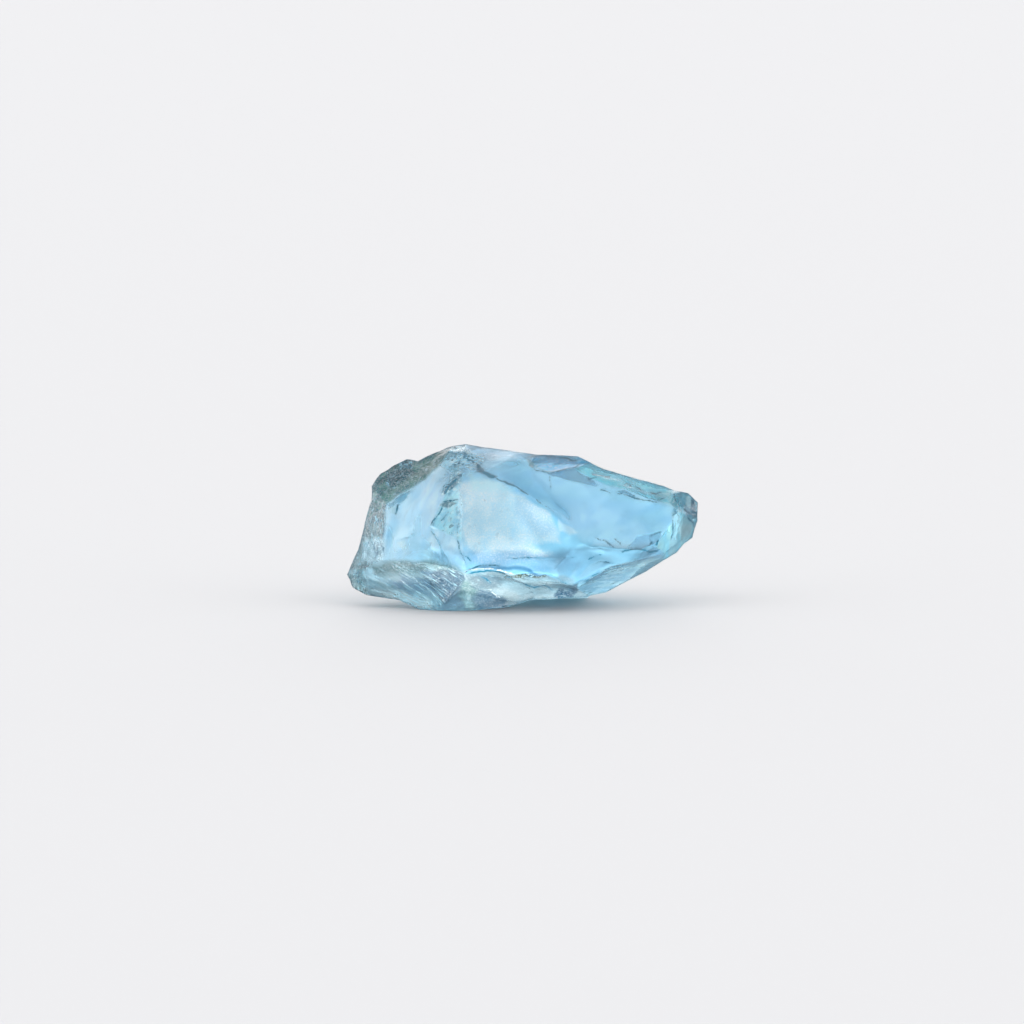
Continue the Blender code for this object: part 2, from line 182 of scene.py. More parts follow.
# Each finish: its haze, the colour that light takes on in crossing it, the colour of its streaks, how those
# run (degrees, length and width in mm), their relief in mm, how grainy it is, how much it is speckled along
# its streaks, and how much it sparkles with loose flakes.
FINISHES = {
    "clear": (0.11, "#b0e8ff", "#a8e2ff", 10, 0.9, 0.5, 0.002, 0, 0, 0),
    "pale": (0.12, "#ccedff", "#dbf3ff", 75, 0.6, 0.22, 0.006, 0.08, 0.14, 0.05),
    "chipped": (0.14, "#c4f5ff", "#aee3f5", 62, 0.4, 0.2, 0.012, 0.21, 0.5, 0.2),
    "crumbled": (0.12, "#84e4f8", "#b4f2ff", 30, 0.16, 0.12, 0.016, 0.34, 0.55, 0.6),
    "skin": (0.34, "#2e8488", "#6aa89a", 25, 0.32, 0.24, 0.03, 0.25, 0.4, 0.1),
    "strip": (0.3, "#4c7276", "#789fa0", 88, 0.5, 0.16, 0.02, 0.41, 0.6, 0.12),
    "scar": (0.18, "#66d8ff", "#7ccbe4", 20, 0.6, 0.2, 0.006, 0.14, 0.25, 0.05),
    "wavy": (0.14, "#92f0ff", "#a6f0ff", -15, 0.6, 0.16, 0.008, 0.11, 0.22, 0.03),
    "nub": (0.1, "#5ab8cc", "#98d8e6", 60, 0.4, 0.2, 0.012, 0.14, 0.3, 0.05),
    "bright": (0.08, "#a2ecff", "#cfffff", 88, 0.9, 0.16, 0.006, 0.06, 0.25, 0),
    "striped": (0.1, "#94bccf", "#aed0db", 8, 1, 0.14, 0.006, 0.08, 0.4, 0),
    "belly": (0.16, "#b1bdc1", "#a5b6bc", -8, 0.6, 0.26, 0.01, 0.19, 0.16, 0.06),
    "fan": (0.14, "#8fa6b4", "#c5d0d1", -32, 1.2, 0.11, 0.011, 0.17, 0.6, 0),
    "keel": (0.15, "#6d8692", "#7a8b96", -10, 0.7, 0.3, 0.006, 0.11, 0.04, 0),
    "frosted": (0.55, "#ffffff", "#e2f0f6", 30, 0.8, 0.34, 0.011, 0.22, 0.09, 0.02),
    "worn": (0.52, "#bcd6dc", "#a0bcc2", 20, 0.5, 0.25, 0.02, 0.35, 0.35, 0.06),
}

DARK, CRACK, TEAL, SHINE, FLAKE = "#2a7a90", "#007e98", "#4890a8", "#ffffff", "#dcf4fa"

# Steps and cracks across the better face. Each: how high the step is and over what reach it fades in mm (the
# surface is lower on its left as the route runs), how wide its line is in mm, how strong the line is, the
# colour of its halo, and its route in x and z. One whose halo is SHINE is a bright line: those in the fan are
# pale ribs and threads, and those along the curl and the keel edge are painted highlights. The others are
# dark, with a painted highlight along one edge and a halo of painted shade.
ROUTES = {
    "crest wedge": (0.01, 0.5, 0.078, 1.4, CRACK, [
        (-1.48, 4.67), (-1.31, 4.45), (-1.14, 4.31), (-0.98, 4.19), (-0.8, 4.14),
    ]),
    "crest ledge": (0.01, 0.6, 0.036, 1.15, CRACK, [
        (-0.95, 4.19), (-0.7, 4.09), (-0.45, 4), (-0.23, 3.89), (-0.02, 3.77), (0.14, 3.64), (0.27, 3.56),
    ]),
    "crest tail": (0.005, 0.4, 0.029, 0.35, TEAL, [(0.23, 3.58), (0.58, 3.39), (0.92, 3.14), (1.23, 2.92)]),
    "hairline": (0.003, 0.1, 0.028, 0.45, TEAL, [(0.83, 4.27), (0.86, 4.02), (0.87, 3.77)]),
    "lens edge": (0.008, 0.2, 0.03, 1, CRACK, [
        (0.14, 4.55), (0.45, 4.39), (0.77, 4.32), (1.11, 4.38), (1.58, 4.48), (1.98, 4.64),
    ]),
    "ridge slit": (0.02, 0.2, 0.06, 0.8, DARK, [
        (-1.98, 4.18), (-2.17, 4.02), (-2.33, 3.83), (-2.48, 3.64),
    ]),
    "ridge notch": (0.01, 0.2, 0.03, 0.75, DARK, [(-2.52, 3.42), (-2.3, 3.47), (-1.98, 3.46)]),
    "ridge line": (0.01, 0.3, 0.03, 0.8, DARK, [
        (-2.45, 3.3), (-2.56, 3.14), (-2.69, 2.92), (-2.8, 2.8), (-2.88, 2.62),
    ]),
    "ridge echo": (0.005, 0.2, 0.028, 0.45, TEAL, [(-2.25, 3.2), (-2.45, 2.95), (-2.62, 2.75)]),
    "left arc": (0.008, 0.1, 0.026, 0.55, TEAL, [(-3.87, 2.2), (-3.69, 2.3), (-3.52, 2.31)]),
    "left tick": (0.005, 0.1, 0.028, 0.45, TEAL, [(-3.41, 2.5), (-3.43, 2.32)]),
    "left slit": (0.01, 0.1, 0.028, 0.75, DARK, [(-3.87, 3.34), (-3.92, 3.15), (-3.98, 2.98)]),
    "neck line": (0.006, 0.2, 0.026, 0.5, DARK, [
        (-1.97, 3.1), (-2.03, 2.45), (-1.98, 1.98), (-1.86, 1.73), (-1.72, 1.42), (-1.67, 1.33),
    ]),
    "neck foot": (0.006, 0.2, 0.03, 0.6, DARK, [(-1.98, 1.98), (-1.9, 1.8), (-1.7, 1.68), (-1.55, 1.5)]),
    "curl": (0.01, 0.4, 0.05, 0.6, TEAL, [
        (-1.86, 1.14), (-1.7, 1.27), (-1.48, 1.38), (-1.23, 1.44), (-0.92, 1.44), (-0.64, 1.42),
    ]),
    "curl foot": (0.006, 0.3, 0.036, 0.95, DARK, [
        (-1.8, 1.12), (-1.48, 1.21), (-1.23, 1.23), (-0.95, 1.23), (-0.7, 1.2), (-0.45, 1.12),
    ]),
    "curl shine": (0, 0.1, 0.032, 0.85, SHINE, [
        (-1.95, 1.2), (-1.67, 1.28), (-1.39, 1.32), (-1.02, 1.32), (-0.7, 1.27), (-0.39, 1.17),
        (-0.05, 1.06),
    ]),
    "curl spur": (0.004, 0.1, 0.028, 0.55, TEAL, [(-1.33, 1.11), (-1.14, 0.98), (-0.95, 0.8)]),
    "belly crack": (0.006, 0.2, 0.028, 0.6, TEAL, [
        (-0.11, 0.78), (0.14, 0.7), (0.33, 0.64), (0.58, 0.69), (0.7, 0.72), (0.86, 0.61), (1.05, 0.56),
    ]),
    "teal rise": (0.012, 0.4, 0.04, 0.45, TEAL, [
        (1.73, 0.8), (2.02, 0.93), (2.19, 1.09), (2.44, 1.22), (2.8, 1.31), (3.4, 1.42),
    ]),
    "belly ridge": (0.01, 0.3, 0.032, 0.4, TEAL, [(0.72, 1.13), (1.02, 1.05), (1.3, 0.88), (1.48, 0.77)]),
    "faint upper": (0.005, 0.3, 0.028, 0.3, TEAL, [(-0.58, 1.67), (0.17, 1.67), (0.94, 1.63)]),
    "faint right": (0.005, 0.3, 0.034, 0.4, TEAL, [(1.19, 1.67), (1.73, 1.67)]),
    "smudge upper": (0.005, 0.3, 0.052, 0.4, TEAL, [(1.98, 1.61), (2.23, 1.7), (2.52, 1.73)]),
    "smudge lower": (0.006, 0.3, 0.045, 0.4, TEAL, [(2.02, 1.42), (2.45, 1.52), (2.98, 1.5)]),
    "wiggle upper": (0.008, 0.2, 0.03, 0.85, CRACK, [
        (2.13, 4.28), (2.36, 4.24), (2.57, 4.26), (2.81, 4.22),
    ]),
    "wiggle lower": (0.006, 0.2, 0.028, 0.8, CRACK, [(2.02, 4.12), (2.16, 4.14), (2.32, 4.19)]),
    "comma left": (0.006, 0.1, 0.028, 0.9, CRACK, [(3.21, 3.91), (3.23, 4), (3.31, 4.05)]),
    "comma right": (0.006, 0.1, 0.028, 0.9, CRACK, [(3.38, 3.87), (3.38, 3.95), (3.42, 4.01)]),
    "shelf left": (0.006, 0.3, 0.03, 0.75, DARK, [(2.36, 3.8), (2.64, 3.75), (2.83, 3.64)]),
    "shelf right": (0.008, 0.3, 0.045, 0.6, TEAL, [
        (2.77, 3.63), (3.11, 3.67), (3.39, 3.58), (3.8, 3.45), (4.42, 3.38),
    ]),
    "low crack": (0.012, 0.3, 0.03, 0.95, CRACK, [
        (3.02, 1.8), (3.3, 1.92), (3.52, 1.94), (3.77, 1.89), (3.98, 1.83), (4.19, 1.84), (4.33, 2),
    ]),
    "low spur": (0.008, 0.1, 0.028, 0.8, DARK, [(4.19, 2.01), (4.23, 2.24)]),
    "low arc": (0.005, 0.2, 0.028, 0.7, TEAL, [(3.92, 2.31), (4.19, 2.45), (4.4, 2.5)]),
    "scratch right": (0.005, 0.1, 0.028, 0.55, TEAL, [(2.84, 2.28), (3.11, 2.04)]),
    "scratch left": (0.005, 0.1, 0.028, 0.45, TEAL, [(2.5, 2.28), (2.77, 2.01)]),
    "right rim": (0.01, 0.2, 0.034, 0.65, DARK, [(4.7, 3.77), (4.77, 3.45), (4.86, 3.17)]),
    "nub cleft": (0.02, 0.2, 0.036, 0.85, CRACK, [(4.95, 3.2), (5.14, 3.08), (5.31, 3), (5.47, 3.03)]),
    "nub vein": (0.004, 0.1, 0.036, 0.8, DARK, [(5.27, 3.48), (5.34, 3.3), (5.31, 3.11)]),
    "notch": (0.008, 0.1, 0.029, 0.5, TEAL, [(3.58, 1.58), (3.61, 1.39)]),
    "fan rib upper": (0.01, 0.12, 0.028, 0.35, SHINE, [
        (-3.02, 0.92), (-2.77, 0.8), (-2.55, 0.64), (-2.3, 0.58),
    ]),
    "fan rib lower": (0.01, 0.12, 0.028, 0.35, SHINE, [
        (-3.08, 1.08), (-2.77, 0.95), (-2.55, 0.77), (-2.27, 0.67),
    ]),
    "fan thread": (0.01, 0.15, 0.04, 0.9, SHINE, [
        (-4.86, 0.64), (-4.42, 0.58), (-4.02, 0.48), (-3.7, 0.33), (-3.39, 0.17),
    ]),
    "panel left": (0.01, 0.1, 0.028, 0.5, TEAL, [
        (-4.92, 1.98), (-4.89, 2.11), (-4.78, 2.16), (-4.66, 2.02), (-4.62, 1.7), (-4.73, 1.52),
        (-4.88, 1.61),
    ]),
    "panel right": (0.01, 0.1, 0.028, 0.6, DARK, [
        (-4.55, 1.58), (-4.58, 1.86), (-4.55, 2.05), (-4.45, 2.11), (-4.33, 1.98), (-4.31, 1.61),
    ]),
    "ridge line low": (0.006, 0.2, 0.028, 0.5, TEAL, [
        (-2.88, 2.59), (-2.8, 2.42), (-2.66, 2.23), (-2.55, 2.11),
    ]),
    "low crack branch": (0.004, 0.1, 0.028, 0.75, DARK, [(3.77, 1.92), (3.95, 2.05), (4.08, 2.2)]),
    "lens top": (0.004, 0.1, 0.03, 0.6, DARK, [
        (-0.05, 4.78), (0.33, 4.84), (0.83, 4.84), (1.36, 4.8), (1.7, 4.72), (1.92, 4.66),
    ]),
    "ripple one": (0.004, 0.1, 0.028, 0.55, DARK, [(3.98, 3.73), (4.17, 3.67), (4.39, 3.72)]),
    "ripple two": (0.004, 0.1, 0.028, 0.5, DARK, [(3.95, 3.56), (4.2, 3.48), (4.48, 3.55)]),
    "ripple three": (0.004, 0.1, 0.028, 0.45, TEAL, [(3.48, 3.95), (3.7, 3.84), (3.86, 3.64)]),
    "fan rib far": (0.01, 0.12, 0.028, 0.3, SHINE, [
        (-2.98, 1.2), (-2.7, 1.05), (-2.48, 0.86), (-2.23, 0.77),
    ]),
    "fan strand one": (0.008, 0.12, 0.034, 0.75, SHINE, [
        (-4.42, 0.86), (-4.17, 0.64), (-3.86, 0.52), (-3.48, 0.33), (-3.08, 0.14),
    ]),
    "fan strand two": (0.008, 0.12, 0.03, 0.65, SHINE, [
        (-3.89, 0.95), (-3.58, 0.7), (-3.23, 0.52), (-2.86, 0.23),
    ]),
    "fan strand three": (0.008, 0.12, 0.03, 0.6, SHINE, [
        (-3.52, 1.08), (-3.23, 0.8), (-2.92, 0.58), (-2.64, 0.33),
    ]),
    "cyan dashes": (0.004, 0.1, 0.024, 0.7, DARK, [(4.73, 3.17), (4.69, 2.86), (4.72, 2.48), (4.61, 2.11)]),
    "nub vein low": (0.004, 0.1, 0.04, 0.7, DARK, [(5.14, 2.95), (5.25, 2.8), (5.36, 2.73), (5.33, 2.58)]),
    "faint lower": (0.004, 0.3, 0.03, 0.4, TEAL, [(-0.7, 1.64), (0.23, 1.67), (1.17, 1.62)]),
    "fan seam": (0.006, 0.15, 0.03, 0.35, SHINE, [
        (-2.67, 0.11), (-2.55, 0.27), (-2.39, 0.42), (-2.17, 0.55), (-2.02, 0.67),
    ]),
    "keel edge": (0.004, 0.15, 0.028, 0.45, SHINE, [
        (-1.27, 0.7), (-1.02, 0.64), (-0.77, 0.45), (-0.52, 0.33),
    ]),
    "scratch long": (0.005, 0.1, 0.026, 0.5, TEAL, [(2.17, 2.33), (2.58, 2.2), (2.95, 1.92)]),
}

# Patches on the better face, each over those before it. Some are other finish or real stains; those named
# shade, glow or shine are painted light and shade. Each: how strong it is, its haze, how grainy it is, its
# colour, how soft its border is in mm, how much of it noise breaks away (wear, on a real finish), how much it
# sparkles, and its outline in x and z.
PATCHES = {
    "frost": (1, 0.2, 0.8, "#e2f6ff", 0.2, 0.38, 0.12, [
        (-1.89, 4.02), (-1.33, 4.17), (-0.7, 3.92), (0.08, 3.48), (0.8, 2.98), (1.08, 2.55), (1.14, 2.11),
        (0.73, 2.2), (0.39, 2.11), (0.92, 1.8), (0.23, 1.64), (-0.7, 1.55), (-1.39, 1.55), (-1.77, 2.05),
        (-1.92, 2.98),
    ]),
    "frost tail": (0.65, 0.14, 0.3, "#eefaff", 0.08, 0.15, 0, [
        (1.11, 2.86), (1.39, 2.67), (1.7, 2.42), (1.45, 2.36), (1.11, 2.48),
    ]),
    "crest shade": (0.85, 0.12, 0.1, "#2b647c", 0.06, 0.2, 0, [
        (-1.4, 4.58), (-1.1, 4.4), (-0.8, 4.17), (-1, 4.14), (-1.22, 4.3),
    ]),
    # Painted shade in the two chips bitten out of the ridge; their flakes sparkle.
    "chip upper shade": (0.8, 0.15, 0.1, "#356c82", 0.06, 0.3, 0.55, [
        (-2.15, 4.14), (-1.9, 4.25), (-2.01, 3.97), (-2.3, 3.75), (-2.47, 3.64),
    ]),
    "chip lower shade": (0.8, 0.15, 0.1, "#3e6a79", 0.05, 0.2, 0.25, [
        (-2.58, 3.32), (-2.37, 3.44), (-2.01, 3.42), (-2.27, 3.25),
    ]),
    "teal spot": (0.98, 0.05, 0.1, "#005c78", 0.09, 0.1, 0, [
        (1.05, 0.52), (1.2, 0.7), (1.42, 0.8), (1.73, 0.83), (1.77, 0.64), (1.58, 0.45), (1.23, 0.42),
    ]),
    "keel streak": (0.8, 0.18, 0.3, "#b8c8c6", 0.12, 0.3, 0, [
        (-1.89, 0.55), (-1.61, 0.64), (-1.42, 0.08), (-1.77, 0.03),
    ]),
    "fan brow left": (0.95, 0.22, 0.5, "#728a88", 0.22, 0.4, 0.05, [
        (-4.7, 1.39), (-4.3, 1.53), (-3.77, 1.55), (-3.23, 1.48), (-2.83, 1.33), (-3.08, 1.17),
        (-3.58, 1.11), (-4.14, 1.17), (-4.61, 1.14),
    ]),
    "fan brow right": (0.9, 0.22, 0.5, "#869d9b", 0.2, 0.35, 0, [
        (-3.23, 1.52), (-2.83, 1.55), (-2.36, 1.48), (-2.02, 1.33), (-1.77, 1.14), (-2.11, 1.05),
        (-2.48, 1.14), (-2.89, 1.23), (-3.17, 1.36),
    ]),
    "fan pool": (0.75, 0.14, 0.1, "#66819b", 0.2, 0.6, 0, [
        (-4, 0.95), (-3.1, 0.98), (-2.5, 0.7), (-2.85, 0.4), (-3.4, 0.55), (-3.9, 0.78),
    ]),
    "slit pale": (0.6, 0.1, 0.1, "#adcfd4", 0.05, 0.3, 0, [
        (-4.11, 3.27), (-3.92, 3.3), (-3.98, 2.95), (-4.14, 3.02),
    ]),
    "left glow": (0.8, 0.2, 0.5, "#f4ffff", 0.12, 0.5, 0.4, [
        (-3.9, 2.15), (-3.65, 2.25), (-3.5, 2.05), (-3.72, 1.92),
    ]),
    "nub shine": (0.95, 0.05, 0.1, "#ffffff", 0.04, 0.05, 0, [
        (5.02, 3.48), (5.17, 3.55), (5.27, 3.36), (5.2, 3.2), (5.05, 3.3),
    ]),
    # Painted shade on the right side of the nub's upper lobe, opposite its painted highlight.
    "nub shade": (0.6, 0.08, 0.1, "#1f5c78", 0.06, 0.2, 0, [
        (5.27, 3.58), (5.45, 3.39), (5.52, 2.98), (5.33, 2.89), (5.2, 3.2),
    ]),
    "lens brown": (0.55, 0.2, 0.2, "#6f7a6c", 0.08, 0.3, 0.1, [
        (0.14, 4.73), (0.3, 4.77), (0.39, 4.64), (0.27, 4.39), (0.17, 4.45),
    ]),
    "right shade": (0.45, 0.12, 0.1, "#7ba5a8", 0.25, 0.6, 0.05, [
        (4, 3.75), (4.6, 3.8), (4.75, 3.3), (4.2, 3.35),
    ]),
    "strip foot": (0.95, 0.25, 0.4, "#ffffff", 0.2, 0.5, 0.2, [
        (-5.05, 2.2), (-4.35, 2.3), (-4.3, 1.5), (-5.2, 1.45),
    ]),
    "tip pale": (0.8, 0.25, 0.5, "#cadfe6", 0.2, 0.6, 0.3, [
        (-5.4, 1.3), (-4.7, 1.3), (-4.5, 0.65), (-5.3, 0.8),
    ]),
    "fan fibres": (0.95, 0.3, 0.5, "#fff0ea", 0.2, 0.15, 0.1, [
        (-4.6, 0.62), (-3.9, 0.62), (-3.2, 0.35), (-2.7, 0.1), (-3.4, 0.08), (-4.3, 0.45),
    ]),
    "nub glass": (0.9, 0.08, 0.2, "#d2eef1", 0.12, 0.4, 0.05, [
        (5, 3), (5.3, 2.8), (5.25, 2.3), (5, 2.15), (4.95, 2.6),
    ]),
    "keel shade": (0.85, 0.15, 0.05, "#8a9aa8", 0.1, 0.2, 0, [
        (-2.11, 0.64), (-1.92, 0.39), (-1.8, 0.08), (-2.61, 0.05), (-2.36, 0.33),
    ]),
    "sparkles": (0.85, 0.05, 0.6, "#a0d8ec", 0.12, 0.3, 0.7, [
        (-2.17, 4.98), (-1.7, 5.08), (-1.27, 4.95), (-1.2, 4.7), (-1.45, 4.48), (-1.89, 4.52), (-2.23, 4.7),
    ]),
    "sparkles far": (0.4, 0.1, 0.4, "#85b2c2", 0.12, 0.6, 0.8, [
        (-1.25, 4.92), (-0.95, 4.95), (-0.7, 4.8), (-0.9, 4.72), (-1.2, 4.75),
    ]),
    "ridge rubble": (0.55, 0.15, 0.4, "#80b6c7", 0.15, 0.6, 0.9, [
        (-2.05, 4.55), (-1.75, 4.5), (-1.85, 4.05), (-2.25, 3.8), (-2.55, 3.55), (-2.6, 3.7), (-2.3, 4.05),
    ]),
    "skin sparkle": (0.9, 0.15, 0.2, "#7fb0b4", 0.12, 0.1, 1, [
        (-3.8, 4.7), (-3.39, 4.7), (-3.39, 4.45), (-3.77, 4.45),
    ]),
    "skin sparkle low": (0.9, 0.15, 0.2, "#78a8ae", 0.12, 0.1, 1, [
        (-4.33, 4.3), (-3.92, 4.36), (-3.95, 3.98), (-4.36, 3.95),
    ]),
    "strip sparkle": (0.8, 0.3, 0.6, "#557a80", 0.15, 0.3, 0.95, [
        (-4.7, 3.2), (-4.45, 3.2), (-4.45, 2.75), (-4.7, 2.75),
    ]),
    "clear lip": (0.85, 0.04, 0.1, "#f4fbff", 0.06, 0.1, 0, [
        (-0.35, 5.06), (1.75, 4.9), (1.75, 4.81), (0.4, 4.85), (-0.35, 4.97),
    ]),
    # Painted shade over the right part of the fan.
    "fan glow shade": (0.8, 0.14, 0.1, "#7690a3", 0.22, 0.5, 0, [
        (-3.2, 1.2), (-2.83, 1.2), (-2.39, 1.02), (-2.11, 0.8), (-2.14, 0.58), (-2.42, 0.64), (-2.89, 0.89),
    ]),
    "glow shade": (0.85, 0.12, 0.1, "#8ab6d6", 0.3, 0.1, 0, [
        (-1.83, 1.48), (-1.64, 1.83), (-0.7, 1.89), (0.55, 1.83), (1.36, 1.7), (1.8, 1.33), (1.17, 1.2),
        (0.39, 1.23), (-0.55, 1.39), (-1.27, 1.39),
    ]),
    "low shade": (0.8, 0.12, 0, "#7ca6be", 0.3, 0.1, 0, [
        (0.42, 1.7), (1.55, 1.95), (2.42, 1.83), (2.8, 1.48), (2.48, 1.14), (1.98, 0.83), (1.27, 0.98),
        (0.64, 1.39),
    ]),
    "lens deep": (0.85, 0.14, 0.1, "#3cc4f0", 0.14, 0.3, 0, [
        (0.89, 4.61), (1.23, 4.72), (1.7, 4.72), (1.92, 4.61), (1.55, 4.5), (1.17, 4.45),
    ]),
    "skin dark": (0.85, 0.35, 0.4, "#1f6068", 0.25, 0.5, 0.05, [
        (-4.2, 4.52), (-3.77, 4.67), (-3.36, 4.58), (-3.2, 4.33), (-3.58, 4.05), (-4.08, 3.95),
        (-4.39, 4.08),
    ]),
    "skin olive": (0.55, 0.45, 0.8, "#8a9881", 0.2, 0.6, 0.05, [
        (-3.08, 4.64), (-2.58, 4.86), (-2.58, 4.58), (-3.08, 4.2), (-3.7, 3.86), (-4.27, 3.64),
        (-4.33, 3.83), (-3.7, 4.08),
    ]),
    "mid shade": (0.7, 0.12, 0, "#d4f8ff", 0.25, 0.1, 0, [
        (-1.58, 4.39), (-1.14, 4.14), (-0.55, 3.89), (-0.27, 3.77), (-0.77, 3.7), (-1.52, 3.83),
    ]),
    "olive line": (1, 0.2, 0.3, "#535e40", 0.05, 0.15, 0.45, [
        (-0.55, 1.12), (-0.3, 1.1), (-0.08, 1.08), (0.77, 1.12), (0.77, 1), (0.23, 0.98), (0.05, 1),
        (-0.06, 0.83), (-0.12, 1), (-0.45, 1), (-0.56, 0.95),
    ]),
    "keel rust": (0.6, 0.2, 0.1, "#7d6f76", 0.1, 0.4, 0, [
        (-0.89, 0.36), (-0.61, 0.33), (-0.45, 0.23), (-0.7, 0.11), (-1.02, 0.11),
    ]),
    "curl shade": (0.85, 0.12, 0, "#3f86b0", 0.09, 0.3, 0, [
        (-1.39, 1.36), (-1.2, 1.42), (-0.7, 1.42), (-0.08, 1.34), (0.55, 1.2), (0.83, 1.08), (0.3, 1.12),
        (-0.33, 1.25), (-0.83, 1.34),
    ]),
    "keel dark": (0.85, 0.15, 0.05, "#567589", 0.1, 0.25, 0, [
        (-1.27, 0.67), (-1.02, 0.61), (-0.77, 0.42), (-0.52, 0.33), (-0.45, 0.2), (-0.7, 0.08),
        (-1.2, 0.05), (-1.42, 0.33),
    ]),
    "keel green": (0.75, 0.2, 0.2, "#849f98", 0.14, 0.3, 0, [
        (-1.95, 0.95), (-1.64, 0.92), (-1.33, 0.7), (-1.45, 0.48), (-1.83, 0.58),
    ]),
    "low glow shade": (0.75, 0.12, 0, "#7ba5ba", 0.25, 0.1, 0, [
        (1.55, 1.95), (2.05, 2.08), (2.73, 2.11), (4.14, 2.02), (4.05, 1.7), (2.8, 1.39), (2.23, 1.52),
    ]),
    "belly left": (0.9, 0.16, 0.05, "#76868e", 0.2, 0.2, 0.05, [
        (-1.77, 1.05), (-1.33, 1.14), (-0.7, 1.02), (-0.61, 0.7), (-1.08, 0.64), (-1.58, 0.83),
    ]),
    "belly right": (0.85, 0.16, 0.05, "#7f97a2", 0.2, 0.2, 0.05, [
        (0.7, 1.05), (1.17, 1.08), (1.67, 0.89), (1.55, 0.7), (0.92, 0.7),
    ]),
    "nub low pale": (0.8, 0.1, 0.3, "#d6dcdc", 0.08, 0.3, 0.1, [
        (5.05, 2.77), (5.27, 2.7), (5.23, 2.42), (5.05, 2.33), (4.98, 2.52),
    ]),
    "cyan band": (0.8, 0.06, 0.05, "#b6dfec", 0.05, 0.05, 0, [
        (4.67, 3.08), (4.89, 3.2), (4.95, 2.77), (4.92, 2.05), (4.73, 1.73), (4.55, 1.77), (4.67, 2.3),
    ]),
    "lens shade": (0.8, 0.14, 0.1, "#5cc4ee", 0.06, 0.2, 0, [
        (0.33, 4.7), (0.7, 4.42), (1.17, 4.34), (1.64, 4.45), (1.89, 4.64), (1.55, 4.8), (0.86, 4.83),
    ]),
    # Painted shade over the right end of the fan.
    "fan end shade": (0.92, 0.14, 0.1, "#50697c", 0.12, 0.25, 0, [
        (-2.83, 1.2), (-2.45, 1.3), (-1.95, 1.23), (-1.83, 0.95), (-2.08, 0.52), (-2.39, 0.2), (-2.7, 0.45),
        (-2.89, 0.83),
    ]),
    "foot shade": (0.85, 0.12, 0.05, "#a8cae0", 0.2, 0.15, 0, [
        (-2.7, 1.83), (-2.2, 2.05), (-1.7, 1.89), (-1.58, 1.52), (-1.77, 1.27), (-2.27, 1.39),
        (-2.64, 1.52),
    ]),
    "frost calm": (0.7, 0.16, 0.5, "#c8e4f6", 0.2, 0.3, 0, [
        (-0.23, 3.52), (0.23, 3.39), (0.8, 2.95), (1.05, 2.52), (0.7, 2.33), (0.08, 2.52), (-0.27, 2.98),
    ]),
}

# Dishes bitten out of the stone: the middle, the way it faces, and its radius and depth in mm.
CHIPS = {
    "ridge chip": ((-2.30, -1.86, 3.72), (-0.25, -0.95, 0.15), 0.34, 0.09),
    "ridge chip low": ((-2.52, -1.92, 3.28), (-0.35, -0.93, -0.10), 0.30, 0.08),
    "apex chip": ((-2.00, -1.25, 4.62), (-0.30, -0.85, 0.45), 0.33, 0.07),
    "shoulder nick": ((-3.27, -0.35, 4.72), (-0.25, -0.60, 0.75), 0.30, 0.07),
    "heel nick": ((-4.55, -0.35, 3.95), (-0.85, -0.45, 0.25), 0.34, 0.07),
    "fan shell": ((-3.90, -1.05, 0.70), (-0.30, -0.75, -0.58), 0.62, 0.10),
    "belly shell": ((0.35, -1.50, 0.62), (0.10, -0.72, -0.68), 0.85, 0.12),
    "teal chip": ((1.95, -1.30, 0.70), (0.10, -0.80, -0.60), 0.36, 0.08),
    "right nick": ((5.02, -0.20, 2.16), (0.55, -0.45, -0.70), 0.20, 0.05),
    "back shell": ((-3.30, 1.40, 2.60), (-0.45, 0.88, 0.12), 0.85, 0.14),
    "back chip": ((2.10, 1.72, 2.90), (0.20, 0.97, 0.10), 0.70, 0.10),
    "back nick": ((0.30, 1.75, 4.05), (0.00, 0.75, 0.66), 0.48, 0.08),
    "keel nick": ((3.60, 0.75, 1.35), (0.40, 0.50, -0.76), 0.45, 0.08),
}

CHIP_REACH = 2  # how many of its radii from its middle a chip's ball still works

# Random values, each with its size in mm, seed and octaves.
ROUGH_NOISE = (0.55, 5, 4)
PATCH_WOBBLE_NOISE, WEAR_NOISE = (0.50, 90, 2), (0.30, 95, 3)
ROUTE_WOBBLE_NOISES = ((0.22, 101, 3), (0.22, 105, 3), (0.22, 109, 3))
BREAK_NOISE, SWELL_NOISE = (0.18, 113, 2), (0.16, 117, 2)
STREAK_SEED, STREAK_SEED_STEP, STREAK_OCTAVES = 20, 3, 2
LATTICE = 32  # random numbers each way, after which they repeat

# How far facet values blend across the ridges, in steps.
DISH_BLEND, ROUGH_BLEND, FINISH_BLEND = 2, 6, 3

ROUGH_BASE = 0.7  # the roughness's own depth, round which its noise goes
STREAK_CONTRAST = 1.2  # how sharply a finish goes from one of its colours to the other
FACING_FADE = 6  # how fast patches and routes end where the stone turns away from the better face
PATCH_WOBBLE, ROUTE_WOBBLE = 0.10, 0.030  # mm, how far their outlines and lines stray
WEAR_BASE, WEAR_CONTRAST = 0.9, 0.8  # how much of a patch is left, and how much that varies
BREAK_BASE, BREAK_CONTRAST = 0.95, 0.50  # how much of a line's strength is left, and how much that varies
SWELL_CONTRAST = 0.45  # how much a line's width varies
END_FADE, END_START = 4, 0.15  # how fast a line comes up from its ends, and how strong it is there
# The halo beside a dark line is painted shade, and its bright edge is a painted highlight.
HALO, HALO_WIDTH = 0.45, 1.7  # how strong the shade beside a line is, and its width in line widths
EDGE_SHINE, EDGE_PLACE = 0.18, 1.8  # how bright a dark line's bright edge is, and how many widths away
RIM_LINE, RIM_WIDTH = 0.55, 0.035  # how strong the shade along the outline is, and its width in mm


